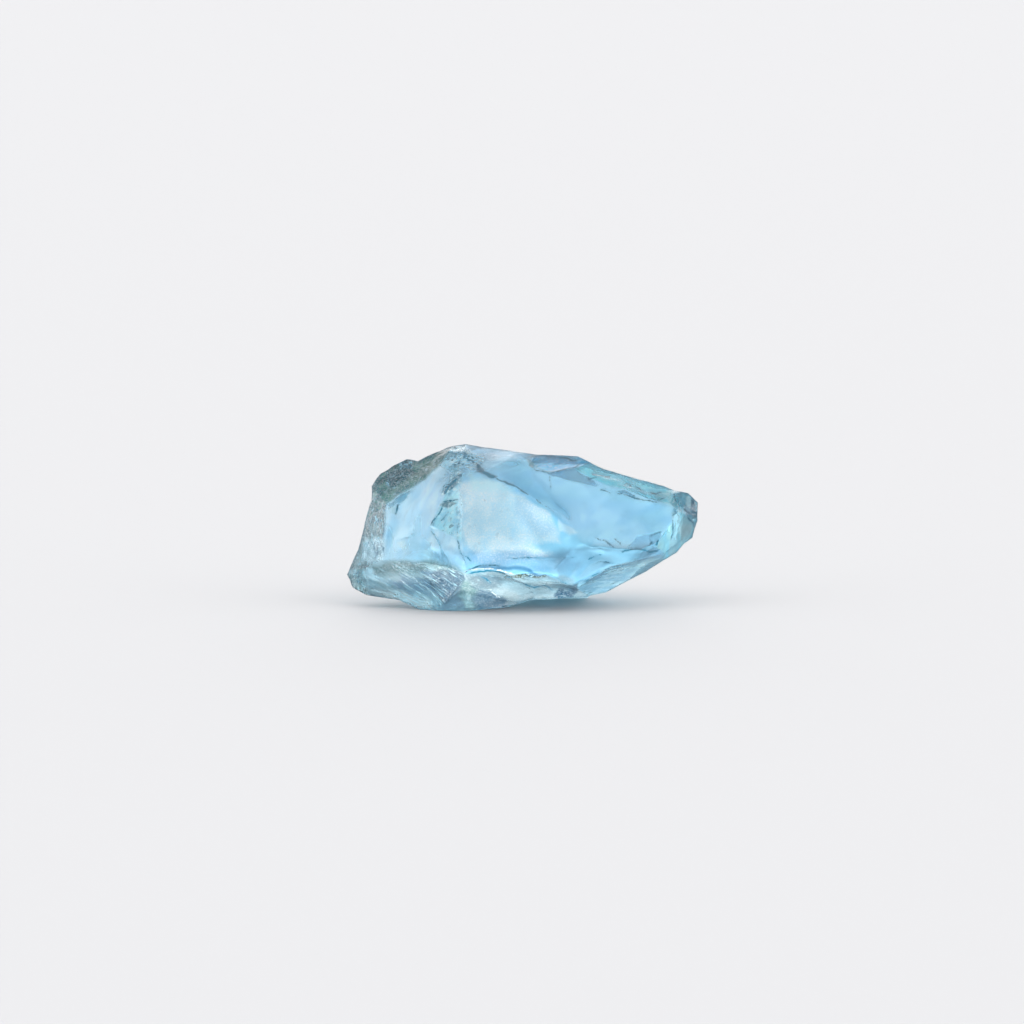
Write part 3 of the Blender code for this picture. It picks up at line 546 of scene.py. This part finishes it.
def corner_names(words):
    """'rim4..7 band5' becomes rim4, rim5, rim6, rim7, band5. A range may also run downwards."""
    names = []
    for word in words.split():
        group = word.rstrip("0123456789.")
        ends = [int(number) for number in word[len(group):].split("..")]
        first, last = ends[0], ends[-1]
        way = 1 if last >= first else -1
        names += [f"{group}{number}" for number in range(first, last + way, way)]
    return names


def ease(values):
    """0 below 0, 1 above 1, and a smooth climb between."""
    part = np.clip(values, 0, 1)
    return part * part * (3 - 2 * part)


def beside(place, route):
    """Each point's distance in mm from a route in x and z, its side (1 on the left), and how far along it is.

    On each run, the nearest spot is the start plus the part of the run that the point lies along; the nearest
    run's values are kept.
    """
    x, z = place[:, 0], place[:, 2]
    route = np.array(route)
    runs = np.diff(route, axis=0)
    lengths = np.hypot(*runs.T)
    nearest = np.full(len(x), np.inf)
    side = np.zeros(len(x))
    along = np.zeros(len(x))
    for number, (start, run) in enumerate(zip(route, runs)):
        part = np.clip(((x - start[0]) * run[0] + (z - start[1]) * run[1]) / (run @ run), 0, 1)
        gap_x, gap_z = x - start[0] - part * run[0], z - start[1] - part * run[1]
        distance = np.hypot(gap_x, gap_z)
        closer = distance < nearest
        nearest = np.where(closer, distance, nearest)
        side = np.where(closer, np.sign(run[0] * gap_z - run[1] * gap_x), side)
        along = np.where(closer, (lengths[:number].sum() + part * lengths[number]) / lengths.sum(), along)
    return nearest, side, along


def within(place, outline, soft):
    """1 inside an outline in x and z and 0 outside it, over a border this soft in mm.

    A point is inside where a line from it along x crosses the outline an odd number of times.
    """
    x, z = place[:, 0], place[:, 2]
    nearest = beside(place, outline + outline[:1])[0]
    inside = np.zeros(len(x), bool)
    for start, end in zip(outline, outline[1:] + outline[:1]):
        spans = (start[1] > z) != (end[1] > z)
        rise = end[1] - start[1] or TINY
        inside ^= spans & (x < start[0] + (z - start[1]) * (end[0] - start[0]) / rise)
    return ease(np.where(inside, nearest, -nearest) / soft + 0.5)


def coarse_net():
    """The facets as triangles with no edge over its limit: points, faces and each face's facet number.

    Edges over their limit are halved, and the triangles in each facet are paired anew, until none is left.
    """
    net = bmesh.new()
    layer = net.faces.layers.int.new("facet")
    corners = {
        f"{group}{number}": net.verts.new(place)
        for group, places in CORNERS.items()
        for number, place in enumerate(places)
    }
    for number, facet in enumerate(FACETS.values()):
        face = net.faces.new([corners[name] for name in corner_names(facet[0])])
        face[layer] = number
    bmesh.ops.recalc_face_normals(net, faces=net.faces)
    bmesh.ops.triangulate(net, faces=net.faces)

    while True:
        edges = list(net.edges)
        middles = np.array([(edge.verts[0].co + edge.verts[1].co) / 2 for edge in edges])
        lengths = np.array([edge.calc_length() for edge in edges])
        names = [[NAMES[face[layer]] for face in edge.link_faces] for edge in edges]
        hidden = np.array([all(name.startswith(HIDDEN) for name in pair) for pair in names])
        near = np.min([beside(middles, points)[0] for *_, points in ROUTES.values()], axis=0) < ROUTE_REACH
        limit = np.where(hidden, LONGEST_BACK_EDGE, np.where(near, LONGEST_ROUTE_EDGE, LONGEST_EDGE))
        if (lengths <= limit).all():
            break
        long_edges = [edges[number] for number in np.flatnonzero(lengths > limit)]
        bmesh.ops.subdivide_edges(net, edges=long_edges, cuts=1)
        bmesh.ops.triangulate(net, faces=[face for face in net.faces if len(face.verts) > 3])
        inner = [edge for edge in net.edges if len({face[layer] for face in edge.link_faces}) == 1]
        bmesh.ops.beautify_fill(net, faces=net.faces, edges=inner, method="ANGLE")
    net.verts.index_update()
    points = np.array([vert.co[:] for vert in net.verts])
    faces = np.array([[vert.index for vert in face.verts] for face in net.faces])
    facet = np.array([face[layer] for face in net.faces])
    net.free()
    return points, faces, facet


class Sheet:
    """A triangle mesh as arrays. Each point has x, y, z and a hollow that is 0 on the ridges."""

    def __init__(self, points, faces, facet):
        self.points, self.faces, self.facet = points, faces, facet
        ends = np.concatenate([faces[:, [0, 1]], faces[:, [1, 2]], faces[:, [2, 0]]])
        ends.sort(axis=1)
        keys, self.edge_of = np.unique(ends[:, 0] * len(points) + ends[:, 1], return_inverse=True)
        self.ends = np.stack([keys // len(points), keys % len(points)])
        self.degree = np.bincount(self.ends.ravel(), minlength=len(points))
        self.on_ridge = self.between(facet)

    def between(self, label):
        """Whether each point lies where faces of different labels meet."""
        low = np.full(len(self.points), len(NAMES))
        high = np.full(len(self.points), -1)
        for corner in range(3):
            np.minimum.at(low, self.faces[:, corner], label)
            np.maximum.at(high, self.faces[:, corner], label)
        return low != high

    def free_soft_ridges(self):
        """Keeps the ridges apart from those inside a soft group, so that these can round off."""
        label = np.arange(len(NAMES))
        for group in SOFT_GROUPS:
            members = [NAMES.index(name) for name in group]
            label[members] = members[0]
        self.on_ridge = self.between(label[self.facet])

    def mean_of_neighbours(self, values):
        """At each point, the values at the other ends of its edges, summed and divided by their number."""
        a, b = self.ends
        count = len(self.points)
        columns = [
            np.bincount(a, column[b], count) + np.bincount(b, column[a], count) for column in values.T
        ]
        return np.stack(columns, axis=1) / self.degree[:, None]

    def relax(self, steps, pressure):
        """Draws each facet tight inside its ridges and lets its hollow grow.

        In each step a point off the ridges goes to the mean of its neighbours, and its hollow to the mean of
        theirs plus the pressure.
        """
        fixed = self.on_ridge[:, None]
        push = np.array([0.0, 0.0, 0.0, pressure])
        for _ in range(steps):
            self.points = np.where(fixed, self.points, self.mean_of_neighbours(self.points) + push)

    def smooth(self, values, steps):
        """The values after this many steps, each half way to the mean of the neighbours."""
        column = values[:, None]
        for _ in range(steps):
            column = 0.5 * column + 0.5 * self.mean_of_neighbours(column)
        return column[:, 0]

    def quarter(self):
        """The same mesh with each triangle split into four at the middles of its edges."""
        middles = self.points[self.ends].mean(axis=0)
        ab, bc, ca = self.edge_of.reshape(3, -1) + len(self.points)
        a, b, c = self.faces.T
        parts = [(a, ab, ca), (ab, b, bc), (ca, bc, c), (ab, bc, ca)]
        faces = np.concatenate([np.stack(part, axis=1) for part in parts])
        return Sheet(np.concatenate([self.points, middles]), faces, np.tile(self.facet, 4))

    def spread(self, facet_values, steps):
        """A value given for each facet, taken to the points as the mean of their faces and blended."""
        count = len(self.points)
        total = np.zeros(count)
        faces_at = np.zeros(count)
        for corner in range(3):
            total += np.bincount(self.faces[:, corner], facet_values[self.facet], count)
            faces_at += np.bincount(self.faces[:, corner], minlength=count)
        return self.smooth(total / faces_at, steps)

    def outward(self):
        """Each point's normal: the cross products of its faces' sides, summed and made 1 long."""
        place = self.points[:, :3]
        a, b, c = (place[self.faces[:, corner]] for corner in range(3))
        across = np.cross(b - a, c - a)
        total = np.stack(
            [
                sum(np.bincount(self.faces[:, corner], across[:, axis], len(place)) for corner in range(3))
                for axis in range(3)
            ],
            axis=1,
        )
        return total / np.linalg.norm(total, axis=1, keepdims=True)


def grain(place, size, seed):
    """Smooth random values from -1 to 1 that change over this size in mm.

    Random numbers stand on a lattice of this size, and each point eases between the eight around it.
    """
    lattice = np.random.default_rng(seed).uniform(-1, 1, (LATTICE, LATTICE, LATTICE))
    spot = place / size + LATTICE / 2
    cell = np.floor(spot).astype(int)
    part_x, part_y, part_z = ease(spot - cell).T
    low_x, low_y, low_z = (cell % LATTICE).T
    high_x, high_y, high_z = ((cell + 1) % LATTICE).T

    def row(y, z):
        start = lattice[low_x, y, z]
        return start + part_x * (lattice[high_x, y, z] - start)

    def sheet_at(z):
        start = row(low_y, z)
        return start + part_y * (row(high_y, z) - start)

    start = sheet_at(low_z)
    return start + part_z * (sheet_at(high_z) - start)


def fractal(place, size, seed, octaves):
    """Grain summed over octaves, each half the size and half the strength of the one before."""
    return sum(grain(place, size / 2**k, seed + k) / 2**k for k in range(octaves))


def stone_sheet():
    """The facets drawn tight before and after each quartering, and then with their soft ridges rounded."""
    points, faces, facet = coarse_net()
    sheet = Sheet(np.column_stack([points, np.zeros(len(points))]), faces, facet)
    sheet.relax(FIRST_FILM_STEPS, FILM_PRESSURE)
    for level in range(QUARTERINGS):
        sheet = sheet.quarter()
        sheet.relax(FILM_STEPS, FILM_PRESSURE / 4 ** (level + 1))
    sheet.free_soft_ridges()
    sheet.relax(SOFTENINGS, FILM_PRESSURE / 4**QUARTERINGS)
    return sheet


def facet_column(place_in_row):
    """One value of every facet, in the order of the facets."""
    return np.array([float(facet[place_in_row]) for facet in FACETS.values()])


def stretched(place, degrees, length, width):
    """Places measured in streaks: along and across a direction in x and z, and through the stone."""
    turn = math.radians(degrees)
    along = place[:, 0] * math.cos(turn) + place[:, 2] * math.sin(turn)
    across = place[:, 2] * math.cos(turn) - place[:, 0] * math.sin(turn)
    return np.stack([along / length, across / width, place[:, 1] / length], axis=1)


def hollows(sheet):
    """How deep each point lies below its flat facet.

    It is the facet's dish times the point's share of the facet's deepest hollow, plus the facet's roughness
    times its noise.
    """
    hollow = sheet.points[:, 3]
    deepest = np.full(len(NAMES), TINY)
    np.maximum.at(deepest, sheet.facet, hollow[sheet.faces].max(axis=1))
    share = hollow * sheet.spread(1 / deepest, 0)
    dish = sheet.spread(facet_column(DISH), DISH_BLEND)
    rough = sheet.spread(facet_column(ROUGH), ROUGH_BLEND)
    return dish * share + rough * (ROUGH_BASE + fractal(sheet.points[:, :3], *ROUGH_NOISE))


class Looks:
    """What each point of a sheet looks like: how far it is set in, and the layers that the material reads."""

    def __init__(self, sheet):
        self.sheet = sheet
        self.place = sheet.points[:, :3]
        self.facing = ease(-FACING_FADE * sheet.outward()[:, 1])
        self.inset = hollows(sheet)
        count = len(self.place)
        self.haze, self.grainy, self.speckle, self.sparkle = np.zeros((4, count))
        self.flow, self.tint = np.zeros((2, count, 3))
        self.dark, self.bright = np.full((2, count), -1.0)

    def stain_or_painted_light(self, weight, colour):
        """Takes the tint this part of the way to a colour: a real stain for some patches, and painted shade
        or painted highlight for the others, the halos and the rim line.
        """
        self.tint += weight[:, None] * (np.array(linear(colour)[:3]) - self.tint)

    def add_finishes(self):
        """Each finish by its share of a point, with its two colours mixed by noise drawn out in streaks."""
        used = [facet[FINISH] for facet in FACETS.values()]
        most = np.zeros(len(self.place))
        for number, (name, finish) in enumerate(FINISHES.items()):
            haze, colour, streak_colour, degrees, length, width, relief, grainy, speckle, sparkle = finish
            share = self.sheet.spread(np.array([float(word == name) for word in used]), FINISH_BLEND)
            drawn_out = stretched(self.place, degrees, length, width)
            self.flow = np.where((share > most)[:, None], drawn_out, self.flow)
            most = np.maximum(most, share)
            seed = STREAK_SEED + STREAK_SEED_STEP * number
            noise = np.clip(fractal(drawn_out, 1.0, seed, STREAK_OCTAVES), -1, 1)
            start, end = (np.array(linear(each)[:3]) for each in (colour, streak_colour))
            weight = ease(0.5 + STREAK_CONTRAST * noise)[:, None]
            self.tint += share[:, None] * (start + weight * (end - start))
            self.haze += share * haze
            self.grainy += share * grainy
            self.speckle += share * speckle
            self.sparkle += share * sparkle
            self.inset += share * relief * noise

    def add_patches(self):
        """Each patch inside its straying outline, less what noise breaks away, where the stone faces forward.
        """
        shaken = self.place + PATCH_WOBBLE * fractal(self.place, *PATCH_WOBBLE_NOISE)[:, None]
        wear_or_breakup = 1 - ease(WEAR_BASE + WEAR_CONTRAST * fractal(self.place, *WEAR_NOISE))
        for strength, haze, grainy, colour, soft, worn, sparkle, outline in PATCHES.values():
            weight = strength * self.facing * (1 - worn * wear_or_breakup) * within(shaken, outline, soft)
            self.haze += weight * (haze - self.haze)
            self.grainy += weight * (grainy - self.grainy)
            self.sparkle += weight * (sparkle - self.sparkle)
            self.stain_or_painted_light(weight, colour)

    def add_routes(self):
        """Each route as a step down to its left, which fades away from it, and as a line.

        A line goes from its strength to 0 over its width. Beside a dark one run a painted highlight and a
        halo of painted shade.
        """
        wobble = np.stack([fractal(self.place, *noise) for noise in ROUTE_WOBBLE_NOISES], axis=1)
        shaken = self.place + ROUTE_WOBBLE * wobble
        breaking = BREAK_BASE + BREAK_CONTRAST * fractal(self.place, *BREAK_NOISE)
        swelling = np.exp(SWELL_CONTRAST * fractal(self.place, *SWELL_NOISE))
        for height, reach, width, strength, colour, route in ROUTES.values():
            distance, side, along = beside(shaken, route)
            ends = ease(END_FADE * np.minimum(along, 1 - along) + END_START) * self.facing
            level = np.minimum(strength * breaking, 1) * ends
            distance = distance / swelling
            signed = distance * side
            fading = np.exp(-np.maximum(signed, 0) / reach)
            self.inset += height * ends * ease(signed / width + 0.5) * fading
            if colour == SHINE:
                self.bright = np.maximum(self.bright, level * (1 - distance / width))
                continue
            self.dark = np.maximum(self.dark, level * (1 - distance / width))
            edge = 1 - np.abs(signed / width - EDGE_PLACE)
            self.bright = np.maximum(self.bright, EDGE_SHINE * level * edge)
            self.stain_or_painted_light(HALO * level * np.exp(-((distance / width / HALO_WIDTH) ** 2)), colour)

    def add_rim_line(self):
        """A shade that falls off as a bell curve on both sides of the outline."""
        rim = CORNERS["rim"] + CORNERS["rim"][:1]
        distance = beside(self.place, [(x, z) for x, _, z in rim])[0]
        self.stain_or_painted_light(RIM_LINE * np.exp(-((distance / RIM_WIDTH) ** 2)), DARK)

    def layers(self):
        """The layers by name. A tint is squared, as light crossing a face takes on its root."""
        plain = {name: np.clip(getattr(self, name), lowest, 1) for name, lowest in PLAIN_LAYERS.items()}
        tint = np.column_stack([np.clip(self.tint, 0, 1) ** 2, np.ones(len(self.tint))])
        return plain | {"flow": self.flow, "tint": tint}


def dressed(sheet):
    """The looks of a sheet, with everything added."""
    looks = Looks(sheet)
    looks.add_finishes()
    looks.add_patches()
    looks.add_routes()
    looks.add_rim_line()
    return looks


def bite(place):
    """Pushes the points inside each chip's ball, near its dish, out to the ball's surface.

    The ball's radius is (radius squared + depth squared) / (2 x depth), so the dish is that wide and deep.
    """
    for middle, facing, radius, depth in CHIPS.values():
        ball_radius = (radius**2 + depth**2) / (2 * depth)
        facing = np.array(facing) / np.linalg.norm(facing)
        centre = np.array(middle) + facing * (ball_radius - depth)
        away = place - centre
        distance = np.linalg.norm(away, axis=1, keepdims=True)
        close = np.linalg.norm(place - middle, axis=1, keepdims=True) < CHIP_REACH * radius
        place = np.where(close & (distance < ball_radius), centre + away / distance * ball_radius, place)
    return place


def lay_down(sheet):
    """Leans the stone back, flattens it where it rests and fits it to the CAD stone's box, in metres.

    Each coordinate becomes the box's low side plus the point's share of the stone's extent times the box's.
    """
    turn = np.array(Matrix.Rotation(-LEAN, 3, "X"))
    place = sheet.points[:, :3] @ turn.T - (0, 0, REST_CUT)
    place[:, 2] = np.maximum(place[:, 2], 0)
    low, high = place.min(axis=0), place.max(axis=0)
    cad = np.array([cad_low, cad_high])
    return cad[0] + (place - low) / (high - low) * (cad[1] - cad[0])


def linear(hex_colour):
    """An sRGB hex colour as linear red, green, blue and alpha, by the curve that defines sRGB."""
    parts = [int(hex_colour[at : at + 2], 16) / 255 for at in (1, 3, 5)]
    return [part / 12.92 if part <= 0.04045 else ((part + 0.055) / 1.055) ** 2.4 for part in parts] + [1.0]


def node(tree, kind, inputs=None, **properties):
    """Adds a node with these properties. An input is linked if it is given a socket, and set otherwise."""
    made = tree.nodes.new(kind)
    for name, value in properties.items():
        setattr(made, name, value)
    for name, value in (inputs or {}).items():
        if isinstance(value, bpy.types.NodeSocket):
            tree.links.new(value, made.inputs[name])
        else:
            made.inputs[name].default_value = value
    return made


APATITE_IOR = 1.634
GRAIN_SIZE, GRAIN_HEIGHT, GRAIN_DETAIL = 0.05 * MM, 0.004 * MM, 2.0
FLAKE_SIZE, FLAKE_HEIGHT = 0.095 * MM, 0.02 * MM
CRUMB_SCALE, CRUMB_DETAIL, CRUMB_HEIGHT = 2.6, 3.0, 0.02 * MM  # crumbs to a streak, their detail and height
PIT_SCALE, PIT_DETAIL = 1.9, 4.0  # pits to a streak, and their detail
ABSORBED = (58.0, 14.0, 2.0)  # per metre, of red, green and blue

# The values at which each kind of mark starts to show and shows in full.
GRAIN_SHOWS, PIT_SHOWS, CRUMB_SHOWS, FLAKE_SHOWS = (0.44, 0.74), (0.54, 0.70), (0.56, 0.66), (1.02, 1.10)
SHINE_SHOWS, CRACK_SHOWS = (0.60, 0.95), (0.55, 0.85)
LIT_SHARE, DIM_SHARE = 0.50, 0.45  # how much sparkle adds to a flake's chance of being lit or dim
LINE_GRAIN = 0.8  # how much grain breaks up the lines

PLAIN_LAYERS = {"haze": 0, "grainy": 0, "speckle": 0, "sparkle": 0, "dark": -1, "bright": -1}  # lowest values

# Each layer: its kind of attribute, the field that holds it, and the output that the material reads.
LAYERS = {name: ("FLOAT", "value", "Fac") for name in PLAIN_LAYERS}
LAYERS["flow"] = ("FLOAT_VECTOR", "vector", "Vector")
LAYERS["tint"] = ("FLOAT_COLOR", "color", "Color")


def clear_apatite():
    """Fluorapatite, a clear crystal broken into glassy, frosted and weathered faces.

    All of it is see-through and refracts, and takes red out of the light on the way. The layers give its
    faces their haze and tint. Marks are drawn over the tint in turn: grain, pits, dim flakes, crumbs, lit
    flakes, bright lines and dark lines; the bright lines are pale threads and painted highlights. Grain and
    flakes are drawn coarser than real ones, so that they show.
    """
    material = bpy.data.materials.new("clear_apatite")
    material.use_nodes = True
    tree = material.node_tree
    tree.nodes.clear()
    layer = {
        name: node(tree, "ShaderNodeAttribute", attribute_name=name).outputs[output]
        for name, (_, _, output) in LAYERS.items()
    }
    spot = node(tree, "ShaderNodeTexCoord").outputs["Object"]
    noise = {}
    for name, vector, scale, detail in (
        ("grain", spot, 1 / GRAIN_SIZE, GRAIN_DETAIL),
        ("crumbs", layer["flow"], CRUMB_SCALE, CRUMB_DETAIL),
        ("pits", layer["flow"], PIT_SCALE, PIT_DETAIL),
    ):
        made = node(tree, "ShaderNodeTexNoise", {"Vector": vector, "Scale": scale, "Detail": detail})
        noise[name] = made.outputs["Fac"]
    flakes = node(tree, "ShaderNodeTexVoronoi", {"Vector": spot, "Scale": 1 / FLAKE_SIZE}).outputs
    chance = node(tree, "ShaderNodeSeparateColor", {"Color": flakes["Color"]}).outputs
    grain, sparkle = noise["grain"], layer["sparkle"]

    # A flake shows where its chance and the sparkle together pass 1; few do where it hardly sparkles.
    dim, lit, shine, crack = (
        node(tree, "ShaderNodeMath", {0: added, 1: share, 2: value}, operation="MULTIPLY_ADD").outputs[0]
        for value, added, share in (
            (chance["Green"], sparkle, DIM_SHARE),
            (chance["Red"], sparkle, LIT_SHARE),
            (layer["bright"], grain, LINE_GRAIN),
            (layer["dark"], grain, LINE_GRAIN),
        )
    )
    # Each mark shows where its value passes its limits, as strongly as its layer says.
    colour = layer["tint"]
    for value, (low, high), strength, hex_colour in (
        (grain, GRAIN_SHOWS, layer["grainy"], SHINE),
        (noise["pits"], PIT_SHOWS, layer["speckle"], DARK),
        (dim, FLAKE_SHOWS, 1, CRACK),
        (noise["crumbs"], CRUMB_SHOWS, layer["speckle"], FLAKE),
        (lit, FLAKE_SHOWS, 1, FLAKE),
        (shine, SHINE_SHOWS, 1, SHINE),
        (crack, CRACK_SHOWS, 1, CRACK),
    ):
        limits = {"Value": value, "From Min": low, "From Max": high}
        shown = node(tree, "ShaderNodeMapRange", limits, interpolation_type="SMOOTHSTEP").outputs["Result"]
        factor = node(tree, "ShaderNodeMath", {0: strength, 1: shown}, operation="MULTIPLY").outputs[0]
        over = [part**2 for part in linear(hex_colour)]
        mix = node(tree, "ShaderNodeMix", {"Factor": factor, "A": colour, "B": over}, data_type="RGBA")
        colour = mix.outputs["Result"]

    normal = {}
    for pattern, strength, height in (
        (grain, layer["grainy"], GRAIN_HEIGHT),
        (noise["crumbs"], layer["speckle"], CRUMB_HEIGHT),
        (flakes["Distance"], sparkle, FLAKE_HEIGHT),
    ):
        raised = node(tree, "ShaderNodeMath", {0: pattern, 1: strength}, operation="MULTIPLY").outputs[0]
        bump = node(tree, "ShaderNodeBump", {"Height": raised, "Distance": height} | normal)
        normal = {"Normal": bump.outputs["Normal"]}
    surface = {
        "Roughness": layer["haze"],
        "Base Color": colour,
        "IOR": APATITE_IOR,
        "Transmission Weight": 1.0,
    }
    shader = node(tree, "ShaderNodeBsdfPrincipled", surface | normal)
    density = max(ABSORBED)
    kept = [1 - part / density for part in ABSORBED] + [1.0]
    volume = node(tree, "ShaderNodeVolumeAbsorption", {"Density": density, "Color": kept})
    node(tree, "ShaderNodeOutputMaterial", {"Surface": shader.outputs[0], "Volume": volume.outputs[0]})
    return material


def make_stone():
    """The stone: its sheet set in along its normals, bitten and laid down, with its layers as attributes."""
    sheet = stone_sheet()
    looks = dressed(sheet)
    sheet.points[:, :3] -= sheet.outward() * looks.inset[:, None]
    sheet.points[:, :3] = bite(sheet.points[:, :3])
    mesh = bpy.data.meshes.new("stone")
    mesh.from_pydata(lay_down(sheet).tolist(), [], sheet.faces.tolist())
    for name, values in looks.layers().items():
        kind, field, _ = LAYERS[name]
        mesh.attributes.new(name, kind, "POINT").data.foreach_set(field, values.ravel())
    mesh.shade_smooth()
    mesh.materials.append(clear_apatite())
    stone = bpy.data.objects.new("stone", mesh)
    bpy.context.scene.collection.objects.link(stone)
    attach(stone, "root")
    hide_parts("apatite")


FLOOR_RADIUS, FLOOR_SIDES = 0.5, 96
FLOOR_GAP = 0.01 * MM  # keeps the floor just clear of the face that the stone rests on
FLOOR_COLOUR, FLOOR_ROUGHNESS, FLOOR_GLOSS = "#c4c4c6", 0.9, 0.2


def make_floor():
    """The surface that the stone rests on: matt, pale grey card, a flat disc in shape."""
    mesh = bpy.data.meshes.new("floor")
    shape_maker = bmesh.new()
    bmesh.ops.create_circle(shape_maker, cap_ends=True, segments=FLOOR_SIDES, radius=FLOOR_RADIUS)
    bmesh.ops.translate(shape_maker, verts=shape_maker.verts, vec=(0, 0, -FLOOR_GAP))
    shape_maker.to_mesh(mesh)
    shape_maker.free()
    floor = bpy.data.objects.new("floor", mesh)
    bpy.context.scene.collection.objects.link(floor)
    material = bpy.data.materials.new("pale_floor")
    material.use_nodes = True
    shader = material.node_tree.nodes["Principled BSDF"]
    shader.inputs["Base Color"].default_value = linear(FLOOR_COLOUR)
    shader.inputs["Roughness"].default_value = FLOOR_ROUGHNESS
    shader.inputs["Specular IOR Level"].default_value = FLOOR_GLOSS
    mesh.materials.append(material)


# The light behind and beside the stone, the light from in front of it, and over which y of its direction one
# turns into the other.
TENT_LIGHT, ROOM_LIGHT, ROOM_FADE = 2.60, 0.55, (-0.85, -0.35)
# How much of it is left straight above, and over which z it falls to that.
CEILING_SHADE, CEILING_FADE = 0.66, (0.70, 0.92)
# How much is left behind two dark cards above the stone, the way to the right one (the left one mirrors it),
# and over which cosines from that way it falls.
CARD_SHADE, CARD_WAY, CARD_FADE = 0.30, (0.60, 0.49, 0.63), (0.80, 0.95)


def make_world():
    """Even white light behind and beside the stone, two dark cards above it, and a darker ceiling and room.

    The strength is the tent's or the room's, times what the ceiling and the cards leave of it. Each goes
    smoothly from one value to another over its fade.
    """
    world = bpy.data.worlds.new("soft_studio")
    world.use_nodes = True
    tree = world.node_tree
    direction = node(tree, "ShaderNodeTexCoord").outputs["Generated"]
    apart = node(tree, "ShaderNodeSeparateXYZ", {"Vector": direction}).outputs
    aside = node(tree, "ShaderNodeMath", {0: apart["X"]}, operation="ABSOLUTE").outputs[0]
    one_side = node(tree, "ShaderNodeCombineXYZ", {"X": aside, "Y": apart["Y"], "Z": apart["Z"]}).outputs[0]
    ways = {0: one_side, 1: Vector(CARD_WAY).normalized()}
    nearness = node(tree, "ShaderNodeVectorMath", ways, operation="DOT_PRODUCT").outputs["Value"]
    level = 1
    for value, (start, end), at_start, at_end in (
        (apart["Y"], ROOM_FADE, ROOM_LIGHT, TENT_LIGHT),
        (apart["Z"], CEILING_FADE, 1, CEILING_SHADE),
        (nearness, CARD_FADE, 1, CARD_SHADE),
    ):
        limits = {"Value": value, "From Min": start, "From Max": end, "To Min": at_start, "To Max": at_end}
        left = node(tree, "ShaderNodeMapRange", limits, interpolation_type="SMOOTHSTEP").outputs["Result"]
        level = node(tree, "ShaderNodeMath", {0: level, 1: left}, operation="MULTIPLY").outputs[0]
    background = tree.nodes["Background"]
    background.inputs["Color"].default_value = (1, 1, 1, 1)
    tree.links.new(level, background.inputs["Strength"])
    bpy.context.scene.world = world


TRANSMISSION_BOUNCES, MOST_BOUNCES = 24, 32  # light crosses the stone many times

DISTANCE = 0.30
VIEW_WIDTH = 0.032  # how much the view takes in at that distance
SENSOR = 36
NEAREST, FARTHEST = 0.01, 10
AIM_RIGHT, AIM_UP = -0.33, 0.41  # mm, how far the view's middle is from the stone's


def make_camera():
    """A long lens in front of the stone, looking down by as much as the stone leans back."""
    data = bpy.data.cameras.new("camera")
    data.lens = SENSOR * DISTANCE / VIEW_WIDTH
    data.sensor_width = SENSOR
    data.clip_start = NEAREST
    data.clip_end = FARTHEST
    camera = bpy.data.objects.new("camera", data)
    bpy.context.scene.collection.objects.link(camera)
    forward = Vector((0, math.cos(LEAN), -math.sin(LEAN)))
    up = Vector((0, math.sin(LEAN), math.cos(LEAN)))
    centre = (cad_low + cad_high) / 2
    aim = centre + Vector((AIM_RIGHT, 0, 0)) * MM + up * AIM_UP * MM
    camera.location = aim - forward * DISTANCE
    camera.rotation_mode = "QUATERNION"
    camera.rotation_quaternion = forward.to_track_quat("-Z", "Y")
    bpy.context.scene.camera = camera


make_camera()
make_world()
make_floor()
make_stone()
bpy.context.scene.view_settings.view_transform = "Standard"
bpy.context.scene.cycles.transmission_bounces = TRANSMISSION_BOUNCES
bpy.context.scene.cycles.max_bounces = MOST_BOUNCES
